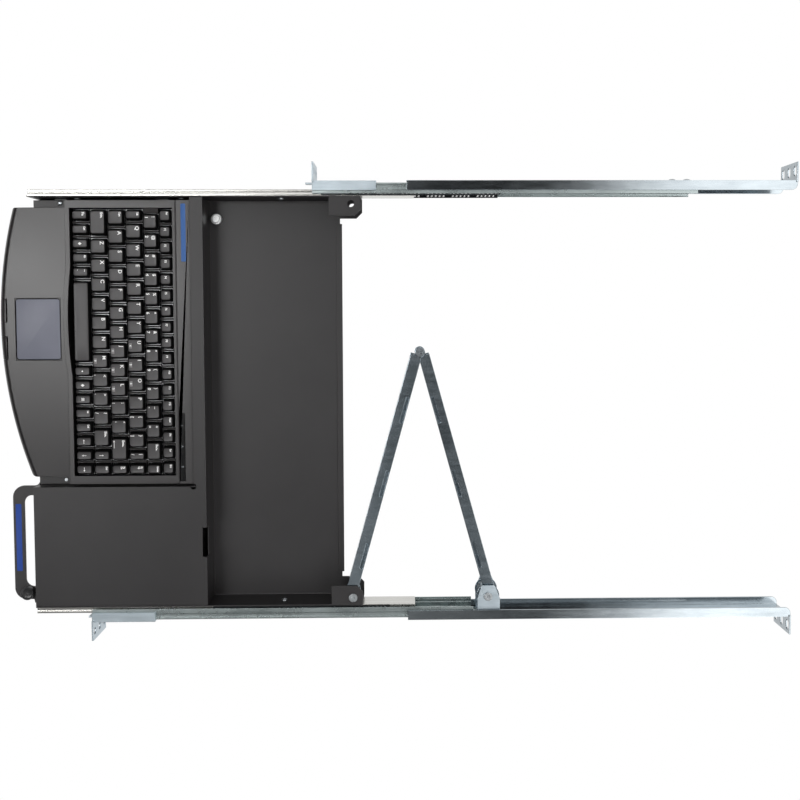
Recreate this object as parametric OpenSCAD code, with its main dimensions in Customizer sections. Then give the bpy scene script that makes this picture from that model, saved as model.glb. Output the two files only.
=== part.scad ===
/* [Rack fit] */
// Width over the rack ears
ear_span = 482.6; // [478:0.1:486]
// Distance of a rack hole line from the outer edge of its ear
hole_in = 8.75; // [8:0.05:9.5]
// Height of a rack ear
ear_h = 43.6; // [42.5:0.1:44.4]
// Thickness of a rack ear
ear_t = 1.8; // [1.4:0.1:2.4]
// Spacing of the three holes in an ear
hole_pitch = 15.875; // [15:0.005:16]
// Radius of a rack screw hole
hole_r = 3.5; // [3:0.1:3.8]
// End to end length of a rear ear slot
slot_l = 10.5; // [8:0.1:11]

/* [Tray] */
// Distance of a tray side wall from the outer edge of a rack ear
rail_room = 33.1; // [32.5:0.1:35]
// Length of the tray floor
tray_l = 311; // [306:1:330]
// Height of the tray side walls
tray_h = 39; // [38.6:0.1:39.6]
// Sheet thickness of the tray, deck and shelf
sheet_t = 1.2; // [1:0.1:1.5]
// Outer bend radius of the tray
bend_r = 2.4; // [2:0.1:3]
// Width of a cable arm tab at a rear corner of the tray
tab_w = 20; // [19:0.5:24]
// Length of a tab behind the tray floor
tab_l = 21; // [19:0.5:26]
// Length of the upper tab ahead of the tray floor edge
tab_lap = 11; // [6:0.5:14]
// Chamfer of a tab corner
tab_chamfer = 6; // [3:0.5:7]
// Width of the folded hem along the rear edge
hem_w = 6; // [4:0.5:9]
// Gap in the rear edge beside a tab
notch_w = 5.5; // [3:0.5:8]
// Depth of the notch beside a tab
notch_d = 2; // [1:0.5:3]

/* [Deck] */
// Length from the tray front to the rear face of the deck
deck_l = 174; // [172:1:180]
// Gap between the keyboard and the mouse platform
platform_gap = 2.6; // [2:0.1:6]
// Width of the mouse cable notch
cable_notch_w = 30; // [20:1:36]
// Depth of the cable notch into the deck
cable_notch_d = 4.4; // [3:0.1:6]
// Height of the cable notch in the rear wall
cable_notch_h = 10; // [6:0.5:16]
// Shift of the cable notch to the left of the middle of the mouse platform
cable_notch_shift = 3.8; // [-20:0.1:20]
// Radius of the corner relief hole
relief_r = 3; // [2:0.1:3.4]
// Height of the top of the keyboard shelf
shelf_z = 20; // [18:0.5:20]

/* [Slides] */
// Height of the outer slide member
slide_h = 36; // [34:0.5:37]
// Thickness of a slide across the rail
slide_w = 12.7; // [12.5:0.1:13]
// Length of the outer slide member
slide_l = 388; // [380:1:400]
// Height of the slide above the floor
slide_z = 4; // [3.5:0.1:4.4]
// Steel thickness of the slide members
slide_t = 1.2; // [1:0.1:1.4]
// Gap between the two ball races
race_gap = 3; // [2.8:0.1:3.2]
// Radius of a ball
ball_r = 1.75; // [1.65:0.05:1.75]
// Length that stays inside the outer slide member at full pull
full_pull_lap = 104.4; // [100:0.1:130]
// Pull-out of the right slide as drawn
right_pull = 57; // [40:1:120]
// Length of a ball cage
cage_l = 180; // [150:1:200]
// Distance from the front of the outer member to the cage at full pull
cage_start = 8.8; // [5:0.1:12]
// Balls along one race
ball_count = 35; // [20:5:35]

/* [Brackets] */
// Length of a front bracket
bracket_l = 64; // [50:1:76]
// Steel thickness of brackets and rear channels
channel_t = 1.8; // [1.5:0.1:2]
// Width of a bracket or channel flange
flange_w = 9.6; // [8:0.1:11]
// Length of a rear channel
channel_l = 394; // [386:1:400]
// Distance from the channel front to its long slot
long_slot_start = 22; // [14:1:26]
// Length by which the long slot is shorter than the slide
long_slot_less = 106; // [90:1:112]
// Length of the right slide inside its rear channel as drawn
right_lap = 67; // [60:1:120]
// Radius of a clamp bolt
bolt_r = 3; // [2.5:0.1:3]
// Spacing of the two clamp bolts
bolt_pitch = 14.8; // [13:0.1:18]
// Distance from the slide end to the last clamp bolt, left side
left_bolt_back = 7; // [6.6:0.1:12]
// Distance from the slide end to the last clamp bolt, right side
right_bolt_back = 21; // [15:0.5:24]

/* [Cable arm] */
// Distance between the pivots of one arm
arm_l = 260; // [245:1:275]
// Width of an arm
arm_w = 11.4; // [10:0.1:12]
// Steel thickness of an arm
arm_t = 1.2; // [1:0.1:1.4]
// Shift of an arm away from the line between its pivots
arm_shift = 3; // [2.4:0.1:3.6]
// Distance from the tray rear edge to the tab pivot
pivot_back = 11; // [9:0.5:12]
// Distance of the pivots from the tray side wall
pivot_in = 8; // [7.5:0.5:9]
// Distance from the slide end to the bracket pivot
bracket_pivot = 15.4; // [13:0.1:18]
// Radius of a pivot pin
pin_r = 3.45; // [3:0.05:3.5]
// Radius of the free hole at the opened pivot
free_hole_r = 9.9; // [9.8:0.1:10.4]
// Length of a cable tie slot
tie_slot_l = 28; // [18:1:36]
// Width of a cable tie slot
tie_slot_w = 3; // [2:0.1:3.4]

/* [Handle] */
// Reach of the handle ahead of the tray
handle_reach = 28.2; // [24:0.1:32]
// Width of the handle bar
handle_bar = 11.5; // [9:0.1:13]
// Thickness of the handle plate
handle_t = 3; // [2.5:0.1:4]
// Height of the underside of the handle
handle_z = 16.5; // [14:0.1:18]
// Outer corner radius of the handle
handle_r = 12; // [8:0.5:12]
// Radius of the lock knob
knob_r = 6.8; // [5:0.1:7]
// Height of the lock knob above the handle
knob_h = 6; // [4:0.1:8]

/* [Keyboard] */
// Width of the keyboard
kb_w = 286; // [285.6:0.1:286.2]
// Length of the keyboard from palm rest to rear edge
kb_l = 194.8; // [194.5:0.1:196.2]
// Reach of the palm rest ahead of the tray
kb_overhang = 34; // [30:0.5:36]
// Distance of the left side of the keyboard from the outer face of the tray wall
kb_side = 4.2; // [3.8:0.1:4.6]
// Height of the top of the keyboard frame
kb_top = 37; // [36.8:0.1:37.4]
// Wall thickness of the keyboard case
kb_wall = 2.2; // [1.8:0.1:2.4]
// Inset of the palm rest from each side of the keyboard
palm_inset = 6.8; // [5:0.1:8]
// Length of the palm rest up to the key frame
palm_l = 70.5; // [64:0.5:70.5]
// Radius of the curved front edge
palm_r = 445; // [400:5:600]
// Shift of the middle of the curved front edge to the left of the keyboard's middle
palm_shift = 22; // [0:1:26]
// Radius of the rolled front edge
roll_r = 8; // [7:0.1:8.4]
// Radius of the right corner of the palm rest
palm_corner = 8; // [5:0.1:10]
// Radius of the left corner of the palm rest
palm_left_corner = 4; // [4:0.1:8]
// Height of the top of the rolled edge
roll_top = 30.5; // [30:0.1:31.5]
// Height of the palm rest where it meets the frame
palm_top = 35.5; // [34.8:0.1:36.2]
// Pitch of a letter key
key_pitch = 19.05; // [18.8:0.01:19.1]
// Pitch of the letter rows
row_pitch = 17.6; // [17.4:0.1:18]
// Pitch of a small key
small_pitch = 14.2; // [13.8:0.1:14.4]
// Pitch of the function key row
top_row_pitch = 14.8; // [14.4:0.1:15]
// Height of the top of the key caps
key_top = 41; // [40.5:0.1:41.4]
// Travel of a key
key_travel = 3; // [2:0.1:3]
// Width of the touchpad
pad_w = 62; // [50:0.5:66]
// Depth of the touchpad
pad_d = 46.4; // [36:0.1:47]

/* [Hidden] */

// Overrun of a cut beyond the faces that it goes through
over = 1;
// Clearances: running fit of a pin, gap between moving faces, gap between fixed pieces
run_fit = 0.1;
move_gap = 0.3;
fit_gap = 0.2;
pin_fit = 0.05;
// Facets of round holes, of broad curves and of balls
round_fn = 48;
curve_fn = 360;
ball_fn = 32;

// Places along the object, from the front of the palm rest to the rear ears
tray_w = ear_span - 2 * rail_room;
left_pull = slide_l - full_pull_lap;
channel_start = right_pull + slide_l - right_lap;
rear_reach = channel_start + channel_l;
overall_l = kb_overhang + rear_reach;
front_y = -overall_l / 2;
tray_y = front_y + kb_overhang;
tray_end = tray_y + tray_l;
rear_y = tray_y + rear_reach;
tray_x = tray_w / 2;
inside_x = tray_x - sheet_t;
ear_x = ear_span / 2;
hole_x = ear_x - hole_in;
left_slide_y = tray_y + left_pull;
right_slide_y = tray_y + right_pull;
channel_y = tray_y + channel_start;
long_slot_l = slide_l - long_slot_less;
kb_x0 = -tray_x + kb_side;
kb_x1 = kb_x0 + kb_w;
platform_x = kb_x1 + platform_gap;
platform_w = inside_x - fit_gap - platform_x;
cable_notch_x = platform_x + platform_w / 2 - cable_notch_shift;

// Slide sections: the race line, the inner member and the outer flange
slide_top = slide_z + slide_h;
slide_mid = slide_z + slide_h / 2;
inner_end_gap = 2.5;
inner_l = slide_l - inner_end_gap;
inner_h = slide_h - 2 * (slide_t + race_gap);
inner_flange = 6.5;
race_x = inner_flange / 2;
race_z = slide_h / 2 - slide_t - race_gap / 2;
race_r = ball_r + pin_fit;
ball_gap = 0.55;
group_balls = 5;
outer_tip = 1.9;
race_w = 4.8;
crest_w = 2;
dip_d = 0.8;
dip_ramp = 0.5;
tip_bevel = 7;
stop_lug = [3, 4, 6];
web_tongue = 27.4;

// Ball cage section
strip_t = 0.6;
strip_in = 0.7;
strip_w = 5.1;
cage_web_x = slide_w - slide_t - 3.5;
cage_web_h = 2 * race_z;

// Front bracket and rear channel
channel_gap = 0.3;
bracket_hook = [1.6, 8, 9];
channel_corner = 6;
head_r = 5.6;
head_h = 3.8;
nut_across = 10;
nut_h = 3;
thread_show = 1;
rivet_r = 2;
rivet_head_r = 3.4;
rivet_head_h = 1;
rivet_inset = 12;
arm_rivet_rise = 7.2;

// Cable arm: pivots, heights and the half angle at which it stands
pivot_x = tray_x - pivot_in;
tab_pivot_y = tray_end + pivot_back;
bracket_pivot_y = right_slide_y + slide_l + bracket_pivot;
half_gap = (bracket_pivot_y - tab_pivot_y) / 2;
arm_angle = asin(half_gap / arm_l);
elbow_x = pivot_x - arm_l * cos(arm_angle);
elbow_y = tab_pivot_y + half_gap;
arm_z = 6.2;
arm_top = 36.8;
nest = arm_t + move_gap;
arm_end_r = 5.2;
arm_blunt = 3.6;
arm_web_end = 7.2;
tab_end_r = 6.4;
free_lug_r = free_hole_r + 1.8;
bracket_t = 1.5;
bracket_tab_z = slide_z;
bracket_l2 = 23;
bracket_nose = 11.5;
bracket_nose_w = 6.5;
bracket_straight = 2;
pin_head_r = 4.4;
pin_head_h = 1.6;
pin_eye_r = 1.5;
collar_r = 5;
washer_r = bracket_nose - 0.3;
elbow_head_r = 4.7;
tie_slot_place = [44, 121, 199];
tie_slot_edge = 1.2;

// Fasteners of the tray
slide_screw_place = [45, 150, 250];
slide_screw_r = 1.9;
slide_screw_head_r = 3.3;
slide_screw_head_h = 1.4;
slide_screw_l = 3;
deck_flange = 12;
deck_screw_r = 1.7;
deck_screw_head_r = 3;
deck_screw_l = 5;
// Places of the deck screws, as parts of half the tray width and of the platform width
deck_screw_part = [-0.72, -0.05, 0.58];
deck_front_screw_part = [0.22, 0.78];
shelf_tab = [10, 12];
shelf_tab_place = [27, 130];
shelf_rivet_in = 4.4;
shelf_rivet_r = 1.6;
shelf_rivet_head_r = 2.6;
shelf_rivet_head_h = 1.2;
shelf_rear_gap = 2;
stud_side = 20.7;
stud_x = -tray_x + stud_side;
stud_back = 181.6;
stud_r = 4.1;
stud_h = 11;
stud_recess_r = 1.8;
stud_recess_d = 3;
stud_nut_across = 10;
stud_nut_h = 5;
stud_hole_r = 2;

// Handle
handle_x0 = platform_x + 1.6;
handle_x1 = tray_x - 3.4;
handle_leg = 10;
handle_flare = 6;
grip_r = 8;
handle_tab = 2;
handle_tab_h = 14;
handle_screw_r = 2;
handle_screw_z = handle_z - 5;
handle_screw_head_r = 3.4;
handle_screw_head_h = 1.8;
handle_screw_l = 8;
knob_in = 7.4;
knob_x = handle_x1 - knob_in;
knob_back = 13.9;
knob_shank_r = 2.5;
knob_shank_l = 5;
knob_top_dip = 1.6;
knob_rim = 1.4;
hook_l = 8;
hook_w = 4;

// Keyboard stack, from the shelf up
kb_mid = (kb_x0 + kb_x1) / 2;
palm_mid = kb_mid - palm_shift;
palm_x0 = kb_x0 + palm_inset;
palm_x1 = kb_x1 - palm_inset;
kb_split = shelf_z + 3;
floor_t = 1.8;
kb_floor = shelf_z + floor_t;
backing_t = 1;
membrane_t = 0.8;
membrane_z = kb_floor + backing_t;
dome_h = 0.9;
dome_r = 2.5;
plate_t = 1.5;
plate_drop = 13.5;
plate_z = key_top - plate_drop;
rim_t = 1.5;
frame_t = 1.2;
frame_z = kb_top - kb_wall - frame_t;
rib_top = kb_top - 0.8;
rib_w = 1.6;
row_web = 0.6;
key_gap = 0.6;
cap_z = key_top - 7;
stem_w = 4.5;
stem_z = plate_z + 0.3;
stem_gap = 0.3;
cap_slope_x = 2;
cap_slope_y = 0.9;
frame_lap = 2.2;
roll_x = palm_r - roll_r;
roll_z = roll_top - roll_r;
palm_fall = (palm_top - roll_top) / (roll_x - palm_r + palm_l);
well_side = 8;
well_x0 = kb_x0 + well_side;
well_front = 75.3;
row_start = 2.3;
top_row_close = 1.6;
well_y0 = front_y + well_front;
groove_back = 13.8;
groove_w = 0.8;
groove_d = 0.5;
bulge = 3.4;
seam_bulge = 3.4;

// Key rows: widths of the cells of each row, all rows being as wide as the well
letter_cells = 11;
row_keys = 14;
row_rest = 2.8;
row_w = row_keys * key_pitch + row_rest;
number_count = 12;
small_count = 13;
letter_count = 10;
tab_key_w = 13.9;
backspace_w = 22.4;
enter_w = 26.7;
right_shift_w = 21.7;
function_count = 17;
row_cells = [
    concat([for (i = [1 : 5]) small_pitch], [row_w - small_count * small_pitch],
        [for (i = [1 : small_count - 5]) small_pitch]),
    concat([row_w - letter_count * key_pitch - right_shift_w - 2 * small_pitch],
        [for (i = [1 : letter_count]) key_pitch], [right_shift_w, small_pitch, small_pitch]),
    concat([row_w - letter_cells * key_pitch - enter_w - small_pitch],
        [for (i = [1 : letter_cells]) key_pitch], [enter_w, small_pitch]),
    concat([tab_key_w], [for (i = [1 : number_count]) key_pitch],
        [row_w - tab_key_w - number_count * key_pitch - small_pitch, small_pitch]),
    concat([row_w - number_count * key_pitch - backspace_w - small_pitch],
        [for (i = [1 : number_count]) key_pitch], [backspace_w, small_pitch]),
    [for (i = [1 : function_count]) row_w / function_count]
];
// Cells of a row that hold no key, and cells whose key is a node of its own
blank_cells = [[], [], [], [], [0], []];
own_cells = [[5], [0, 11], [12], [], [13], []];

function sum_to(list, n, i = 0) = i >= n ? 0 : list[i] + sum_to(list, n, i + 1);
function has(list, v) = len([for (a = list) if (a == v) 1]) > 0;
function cell_x(row, i) = well_x0 + sum_to(row_cells[row], i);
function cell_w(row, i) = row_cells[row][i];
function cell_d(row) = row == 5 ? top_row_pitch - rib_w : row_pitch - (row == 4 ? top_row_close : 0);
function cell_y(row) = well_y0 + row_start + row * row_pitch - (row == 5 ? top_row_close : 0);
well_d = cell_y(5) + cell_d(5) - well_y0;
plate_margin = 2.2;

// A box from one corner to the other
module block(x0, x1, y0, y1, z0, z1) {
    translate([x0, y0, z0]) cube([x1 - x0, y1 - y0, z1 - z0]);
}

// A flat shape drawn across and up, run along the object
module run_y(y0, y1) {
    translate([0, y1, 0]) rotate([90, 0, 0]) linear_extrude(y1 - y0) children();
}

// A flat shape drawn along and up, run across the object
module run_x(x0, x1) {
    translate([x0, 0, 0]) rotate([90, 0, 90]) linear_extrude(x1 - x0) children();
}

// A flat shape drawn from above, run upwards
module run_z(z0, z1) {
    translate([0, 0, z0]) linear_extrude(z1 - z0) children();
}

// Round rods along each direction
module rod_x(x0, x1, y, z, r, fn = round_fn) {
    translate([x0, y, z]) rotate([0, 90, 0]) cylinder(r = r, h = x1 - x0, $fn = fn);
}

module rod_y(x, y0, y1, z, r, fn = round_fn) {
    translate([x, y1, z]) rotate([90, 0, 0]) cylinder(r = r, h = y1 - y0, $fn = fn);
}

module rod_z(x, y, z0, z1, r, fn = round_fn) {
    translate([x, y, z0]) cylinder(r = r, h = z1 - z0, $fn = fn);
}

// A slot across the rail through an ear, and a slot along the rail through a web
module ear_slot(x, z, y0, y1) {
    half = slot_l / 2 - hole_r;
    rod_y(x - half, y0, y1, z, hole_r);
    rod_y(x + half, y0, y1, z, hole_r);
    block(x - half, x + half, y0, y1, z - hole_r, z + hole_r);
}

module web_slot(x0, x1, y0, y1, z, r) {
    rod_x(x0, x1, y0 + r, z, r);
    rod_x(x0, x1, y1 - r, z, r);
    block(x0, x1, y0 + r, y1 - r, z - r, z + r);
}

// The right side is drawn, and the left side is its mirror image
module left_side() {
    mirror([1, 0, 0]) children();
}

// Sheet metal channel of the tray: a floor and two walls with rounded bends
module tray_section(inset) {
    r = bend_r - inset;
    translate([-tray_x + bend_r, inset]) square([tray_w - 2 * bend_r, tray_h]);
    translate([-tray_x + inset, bend_r]) square([tray_w - 2 * inset, tray_h]);
    for (s = [-1, 1]) translate([s * (tray_x - bend_r), bend_r]) circle(r, $fn = round_fn);
}

// Outline of a rear corner tab, from the wall inwards, with a chamfered corner
module tab_outline(lap) {
    polygon([
        [tray_x, tray_end - lap], [tray_x, tray_end + tab_l],
        [tray_x - tab_w + tab_chamfer, tray_end + tab_l],
        [tray_x - tab_w, tray_end + tab_l - tab_chamfer], [tray_x - tab_w, tray_end - lap]
    ]);
}

module tray() {
    color("dimgray") difference() {
        union() {
            run_y(tray_y, tray_end) difference() {
                intersection() {
                    tray_section(0);
                    translate([-tray_x, 0]) square([tray_w, tray_h]);
                }
                tray_section(sheet_t);
            }
            for (s = [0, 1]) mirror([s, 0, 0]) {
                block(inside_x, tray_x, tray_end - over, tray_end + tab_l, 0, tray_h);
                run_z(0, sheet_t) tab_outline(over);
                run_z(tray_h - sheet_t, tray_h) tab_outline(tab_lap);
            }
            block(-tray_x + tab_w + notch_w, tray_x - tab_w - notch_w, tray_end - hem_w, tray_end,
                sheet_t, 2 * sheet_t);
            for (p = shelf_tab_place)
                block(-tray_x + sheet_t / 2, -inside_x + shelf_tab[0], tray_y + p - shelf_tab[1] / 2,
                    tray_y + p + shelf_tab[1] / 2, shelf_z - 2 * sheet_t, shelf_z - sheet_t);
        }
        for (s = [-1, 1]) {
            translate([s * (tray_x - tab_w - notch_w / 2), tray_end, 0])
                block(-notch_w / 2, notch_w / 2, -notch_d, over, -over, tray_h);
            rod_z(s * pivot_x, tab_pivot_y, -over, tray_h + over, pin_r + pin_fit);
            for (p = slide_screw_place)
                rod_x(s > 0 ? inside_x - over : -tray_x - over, s > 0 ? tray_x + over : -inside_x + over,
                    tray_y + p, slide_mid, slide_screw_r + run_fit);
        }
        for (p = shelf_tab_place)
            rod_z(-inside_x + shelf_rivet_in, tray_y + p, shelf_z - 3 * sheet_t, shelf_z, shelf_rivet_r + run_fit);
        deck_screw_holes();
        rod_z(stud_x, tray_y + stud_back, -over, 2 * sheet_t, stud_hole_r + run_fit);
    }
}

// Countersunk holes in the floor for the screws that hold the deck
module deck_screw_holes() {
    for (p = deck_screw_points()) {
        rod_z(p[0], p[1], -over, 3 * sheet_t, deck_screw_r + run_fit);
        translate([p[0], p[1], 0])
            cylinder(r1 = deck_screw_head_r + run_fit, r2 = deck_screw_r + run_fit, h = sheet_t, $fn = round_fn);
    }
}

function deck_screw_points() = concat(
    [for (f = deck_screw_part) [f * tray_x, tray_y + deck_l - sheet_t - deck_flange / 2]],
    [for (f = deck_front_screw_part) [platform_x + f * platform_w, tray_y + sheet_t + deck_flange / 2]]
);

module deck_screws() {
    color("gray") for (p = deck_screw_points()) translate([p[0], p[1], 0]) {
        cylinder(r1 = deck_screw_head_r, r2 = deck_screw_r, h = sheet_t, $fn = round_fn);
        cylinder(r = deck_screw_r, h = deck_screw_l, $fn = round_fn);
    }
}

// The deck: mouse platform, strip behind the keyboard, walls down to the floor
module deck() {
    deck_x = inside_x - fit_gap;
    deck_end = tray_y + deck_l;
    strip_y = front_y + kb_l + fit_gap;
    color("dimgray") difference() {
        union() {
            block(platform_x, deck_x, tray_y, deck_end, tray_h - sheet_t, tray_h);
            block(-deck_x, deck_x, strip_y, deck_end, tray_h - sheet_t, tray_h);
            block(-deck_x, deck_x, deck_end - sheet_t, deck_end, sheet_t, tray_h);
            block(platform_x, deck_x, tray_y, tray_y + sheet_t, sheet_t, tray_h);
            block(platform_x, platform_x + sheet_t, tray_y, deck_end, sheet_t, tray_h);
            block(deck_x - sheet_t, deck_x, tray_y, deck_end, tray_h / 2, tray_h);
            block(-deck_x, platform_x, deck_end - deck_flange, deck_end, sheet_t, 2 * sheet_t);
            block(platform_x, deck_x, deck_end - deck_flange, deck_end, sheet_t, 2 * sheet_t);
            block(platform_x, deck_x, tray_y, tray_y + deck_flange, sheet_t, 2 * sheet_t);
            for (p = shelf_tab_place)
                block(platform_x - shelf_tab[0], platform_x + sheet_t / 2, tray_y + p - shelf_tab[1] / 2,
                    tray_y + p + shelf_tab[1] / 2, shelf_z - 2 * sheet_t, shelf_z - sheet_t);
        }
        block(cable_notch_x - cable_notch_w / 2, cable_notch_x + cable_notch_w / 2,
            deck_end - cable_notch_d, deck_end + over, tray_h - cable_notch_h, tray_h + over);
        rod_z(platform_x, strip_y, tray_h - 2 * sheet_t, tray_h + over, relief_r);
        for (p = deck_screw_points()) rod_z(p[0], p[1], 0, 3 * sheet_t, deck_screw_r + run_fit);
        for (x = handle_leg_places()) handle_screw_hole(x);
        for (p = shelf_tab_place)
            rod_z(platform_x - shelf_rivet_in, tray_y + p, shelf_z - 3 * sheet_t, shelf_z,
                shelf_rivet_r + run_fit);
        for (s = [0, 1]) mirror([s, 0, 0])
            block(inside_x - bend_r, tray_x, tray_y - over, deck_end + over, 0, sheet_t + bend_r);
        for (p = slide_screw_place)
            block(deck_x - 2 * sheet_t, deck_x + over, tray_y + p - slide_screw_head_r - over,
                tray_y + p + slide_screw_head_r + over, 0, slide_mid + slide_screw_head_r + over);
    }
}

// The shelf that carries the keyboard: a plate with a front and a rear foot
module keyboard_shelf() {
    x0 = -inside_x + slide_screw_head_h + fit_gap;
    x1 = platform_x - fit_gap;
    y1 = tray_y + deck_l - deck_flange - shelf_rear_gap;
    color("dimgray") difference() {
        union() {
            block(x0, x1, tray_y, y1, shelf_z - sheet_t, shelf_z);
            block(x0, x1, tray_y, tray_y + sheet_t, sheet_t, shelf_z);
            block(x0, x1, y1 - sheet_t, y1, sheet_t, shelf_z);
        }
        for (p = shelf_tab_place) {
            rod_z(-inside_x + shelf_rivet_in, tray_y + p, 0, shelf_z + over, shelf_rivet_r + run_fit);
            rod_z(platform_x - shelf_rivet_in, tray_y + p, 0, shelf_z + over, shelf_rivet_r + run_fit);
        }
        for (p = keyboard_screw_points()) rod_z(p[0], p[1], 0, shelf_z + over, kb_screw_r + run_fit);
    }
}

module shelf_rivets() {
    x_places = [-inside_x + shelf_rivet_in, platform_x - shelf_rivet_in];
    color("gainsboro") for (x = x_places, p = shelf_tab_place) {
        rod_z(x, tray_y + p, shelf_z - 3 * sheet_t, shelf_z, shelf_rivet_r);
        if (x < 0 && p == shelf_tab_place[0])
            rod_z(x, tray_y + p, shelf_z, shelf_z + shelf_rivet_head_h, shelf_rivet_head_r);
    }
}

module cable_stud() {
    y = tray_y + stud_back;
    color("gainsboro") difference() {
        union() {
            rod_z(stud_x, y, sheet_t, sheet_t + stud_h, stud_r);
            rod_z(stud_x, y, 0, sheet_t + over / 2, stud_hole_r);
            rod_z(stud_x, y, sheet_t, sheet_t + stud_nut_h, stud_nut_across / sqrt(3), 6);
        }
        rod_z(stud_x, y, sheet_t + stud_h - stud_recess_d, sheet_t + stud_h + over, stud_recess_r);
    }
}

// Screws that hold the inner slide members to the tray walls
module slide_screws() {
    color("silver") for (s = [0, 1], p = slide_screw_place) mirror([s, 0, 0]) {
        rod_x(inside_x - slide_screw_head_h, inside_x, tray_y + p, slide_mid, slide_screw_head_r);
        rod_x(inside_x - slide_screw_head_h, tray_x + slide_screw_l, tray_y + p, slide_mid, slide_screw_r);
    }
}

// Handle loop in front of the mouse platform, with a leg at each end
function handle_leg_places() = [handle_x0 + handle_leg / 2, handle_x1 - handle_leg / 2];

module handle_screw_hole(x) {
    rod_y(x, tray_y - handle_tab - over, tray_y + handle_screw_l, handle_screw_z, handle_screw_r + run_fit);
}

// Plan of a loop with round front corners, open towards the tray
module loop_plan(x0, x1, y0, y1, r) {
    translate([x0 + r, y0]) square([x1 - x0 - 2 * r, y1 - y0]);
    translate([x0, y0 + r]) square([x1 - x0, y1 - y0 - r]);
    for (x = [x0 + r, x1 - r]) translate([x, y0 + r]) circle(r, $fn = round_fn);
}

module handle() {
    y0 = tray_y - handle_reach;
    color("black") difference() {
        union() {
            run_z(handle_z, handle_z + handle_t) {
                loop_plan(handle_x0, handle_x1, y0, tray_y, handle_r);
                difference() {
                    translate([handle_x0 - handle_flare, tray_y - handle_flare])
                        square([handle_flare + over, handle_flare]);
                    translate([handle_x0 - handle_flare, tray_y - handle_flare])
                        circle(handle_flare, $fn = round_fn);
                }
                polygon([
                    [handle_x1 - over, tray_y - hook_l - over], [handle_x1 + hook_w, tray_y - hook_l],
                    [handle_x1, tray_y - over], [handle_x1 - over, tray_y - over]
                ]);
            }
            for (x = handle_leg_places())
                block(x - handle_leg / 2, x + handle_leg / 2, tray_y - handle_tab, tray_y,
                    handle_z + handle_t - handle_tab_h, handle_z + handle_t);
        }
        run_z(handle_z - over, handle_z + handle_t + over)
            loop_plan(handle_x0 + handle_leg, handle_x1 - handle_leg - knob_r / 2, y0 + handle_bar,
                tray_y + over, grip_r);
        rod_z(knob_x, tray_y - knob_back, handle_z - over, handle_z + handle_t + over, knob_shank_r + run_fit);
        for (x = handle_leg_places()) handle_screw_hole(x);
    }
}

module handle_screws() {
    seat = tray_y - handle_tab;
    color("gray") for (x = handle_leg_places()) {
        rod_y(x, seat - handle_screw_head_h, tray_y + handle_screw_l, handle_screw_z, handle_screw_r);
        rod_y(x, seat - handle_screw_head_h, seat, handle_screw_z, handle_screw_head_r);
    }
}

// Knob of the drawer lock, turning on its shank in the handle
module lock_knob() {
    z = handle_z + handle_t + move_gap;
    y = tray_y - knob_back;
    color("black") difference() {
        union() {
            rod_z(knob_x, y, z, z + knob_h, knob_r);
            rod_z(knob_x, y, handle_z - knob_shank_l, z + over, knob_shank_r);
            rod_z(knob_x, y, handle_z - knob_shank_l, handle_z - move_gap, knob_shank_r + over);
        }
        rod_z(knob_x, y, z + knob_h - knob_top_dip, z + knob_h + over, knob_r - knob_rim);
    }
}

// Section of the outer slide member: a web and two flanges with a race in each
module outer_flange() {
    top = slide_h / 2;
    dip0 = outer_tip + race_w;
    dip1 = slide_w - crest_w;
    polygon([
        [outer_tip, top], [dip0, top], [dip0 + dip_ramp, top - dip_d], [dip1 - dip_ramp, top - dip_d],
        [dip1, top], [slide_w, top], [slide_w, top - crest_w], [slide_w - slide_t, top - dip_d - slide_t],
        [dip0 + dip_ramp, top - dip_d - slide_t], [dip0, top - slide_t], [outer_tip, top - slide_t]
    ]);
}

module outer_section() {
    difference() {
        union() {
            outer_flange();
            mirror([0, 1]) outer_flange();
            translate([slide_w - slide_t, -slide_h / 2 + over]) square([slide_t, slide_h - 2 * over]);
        }
        for (s = [-1, 1]) translate([race_x, s * race_z]) circle(race_r, $fn = round_fn);
    }
}

// Section of the inner slide member: a channel that opens away from the tray
module inner_section() {
    difference() {
        translate([0, -inner_h / 2]) square([inner_flange, inner_h]);
        translate([slide_t, -inner_h / 2 + slide_t]) square([inner_flange, inner_h - 2 * slide_t]);
        for (s = [-1, 1]) translate([race_x, s * race_z]) circle(race_r, $fn = round_fn);
    }
}

module slide_inner() {
    difference() {
        union() {
            translate([tray_x, 0, slide_mid]) run_y(tray_y, tray_y + inner_l) inner_section();
            block(tray_x + slide_t / 2, tray_x + slide_t + stop_lug[0],
                tray_y + inner_l - stop_lug[1], tray_y + inner_l,
                slide_mid - stop_lug[2] / 2, slide_mid + stop_lug[2] / 2);
        }
        for (s = [-1, 1]) translate([tray_x, tray_y, slide_mid + s * inner_h / 2])
            rotate([s * atan(stop_lug[1] / tip_bevel), 0, 0])
                block(-over, slide_w, -2 * tip_bevel, 0, -tip_bevel, tip_bevel);
        for (p = slide_screw_place)
            rod_x(tray_x - over, tray_x + 2 * slide_t, tray_y + p, slide_mid, slide_screw_r + run_fit);
    }
}

module left_slide_inner() {
    color("gainsboro") left_side() slide_inner();
}

module right_slide_inner() {
    color("gainsboro") slide_inner();
}

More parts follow.
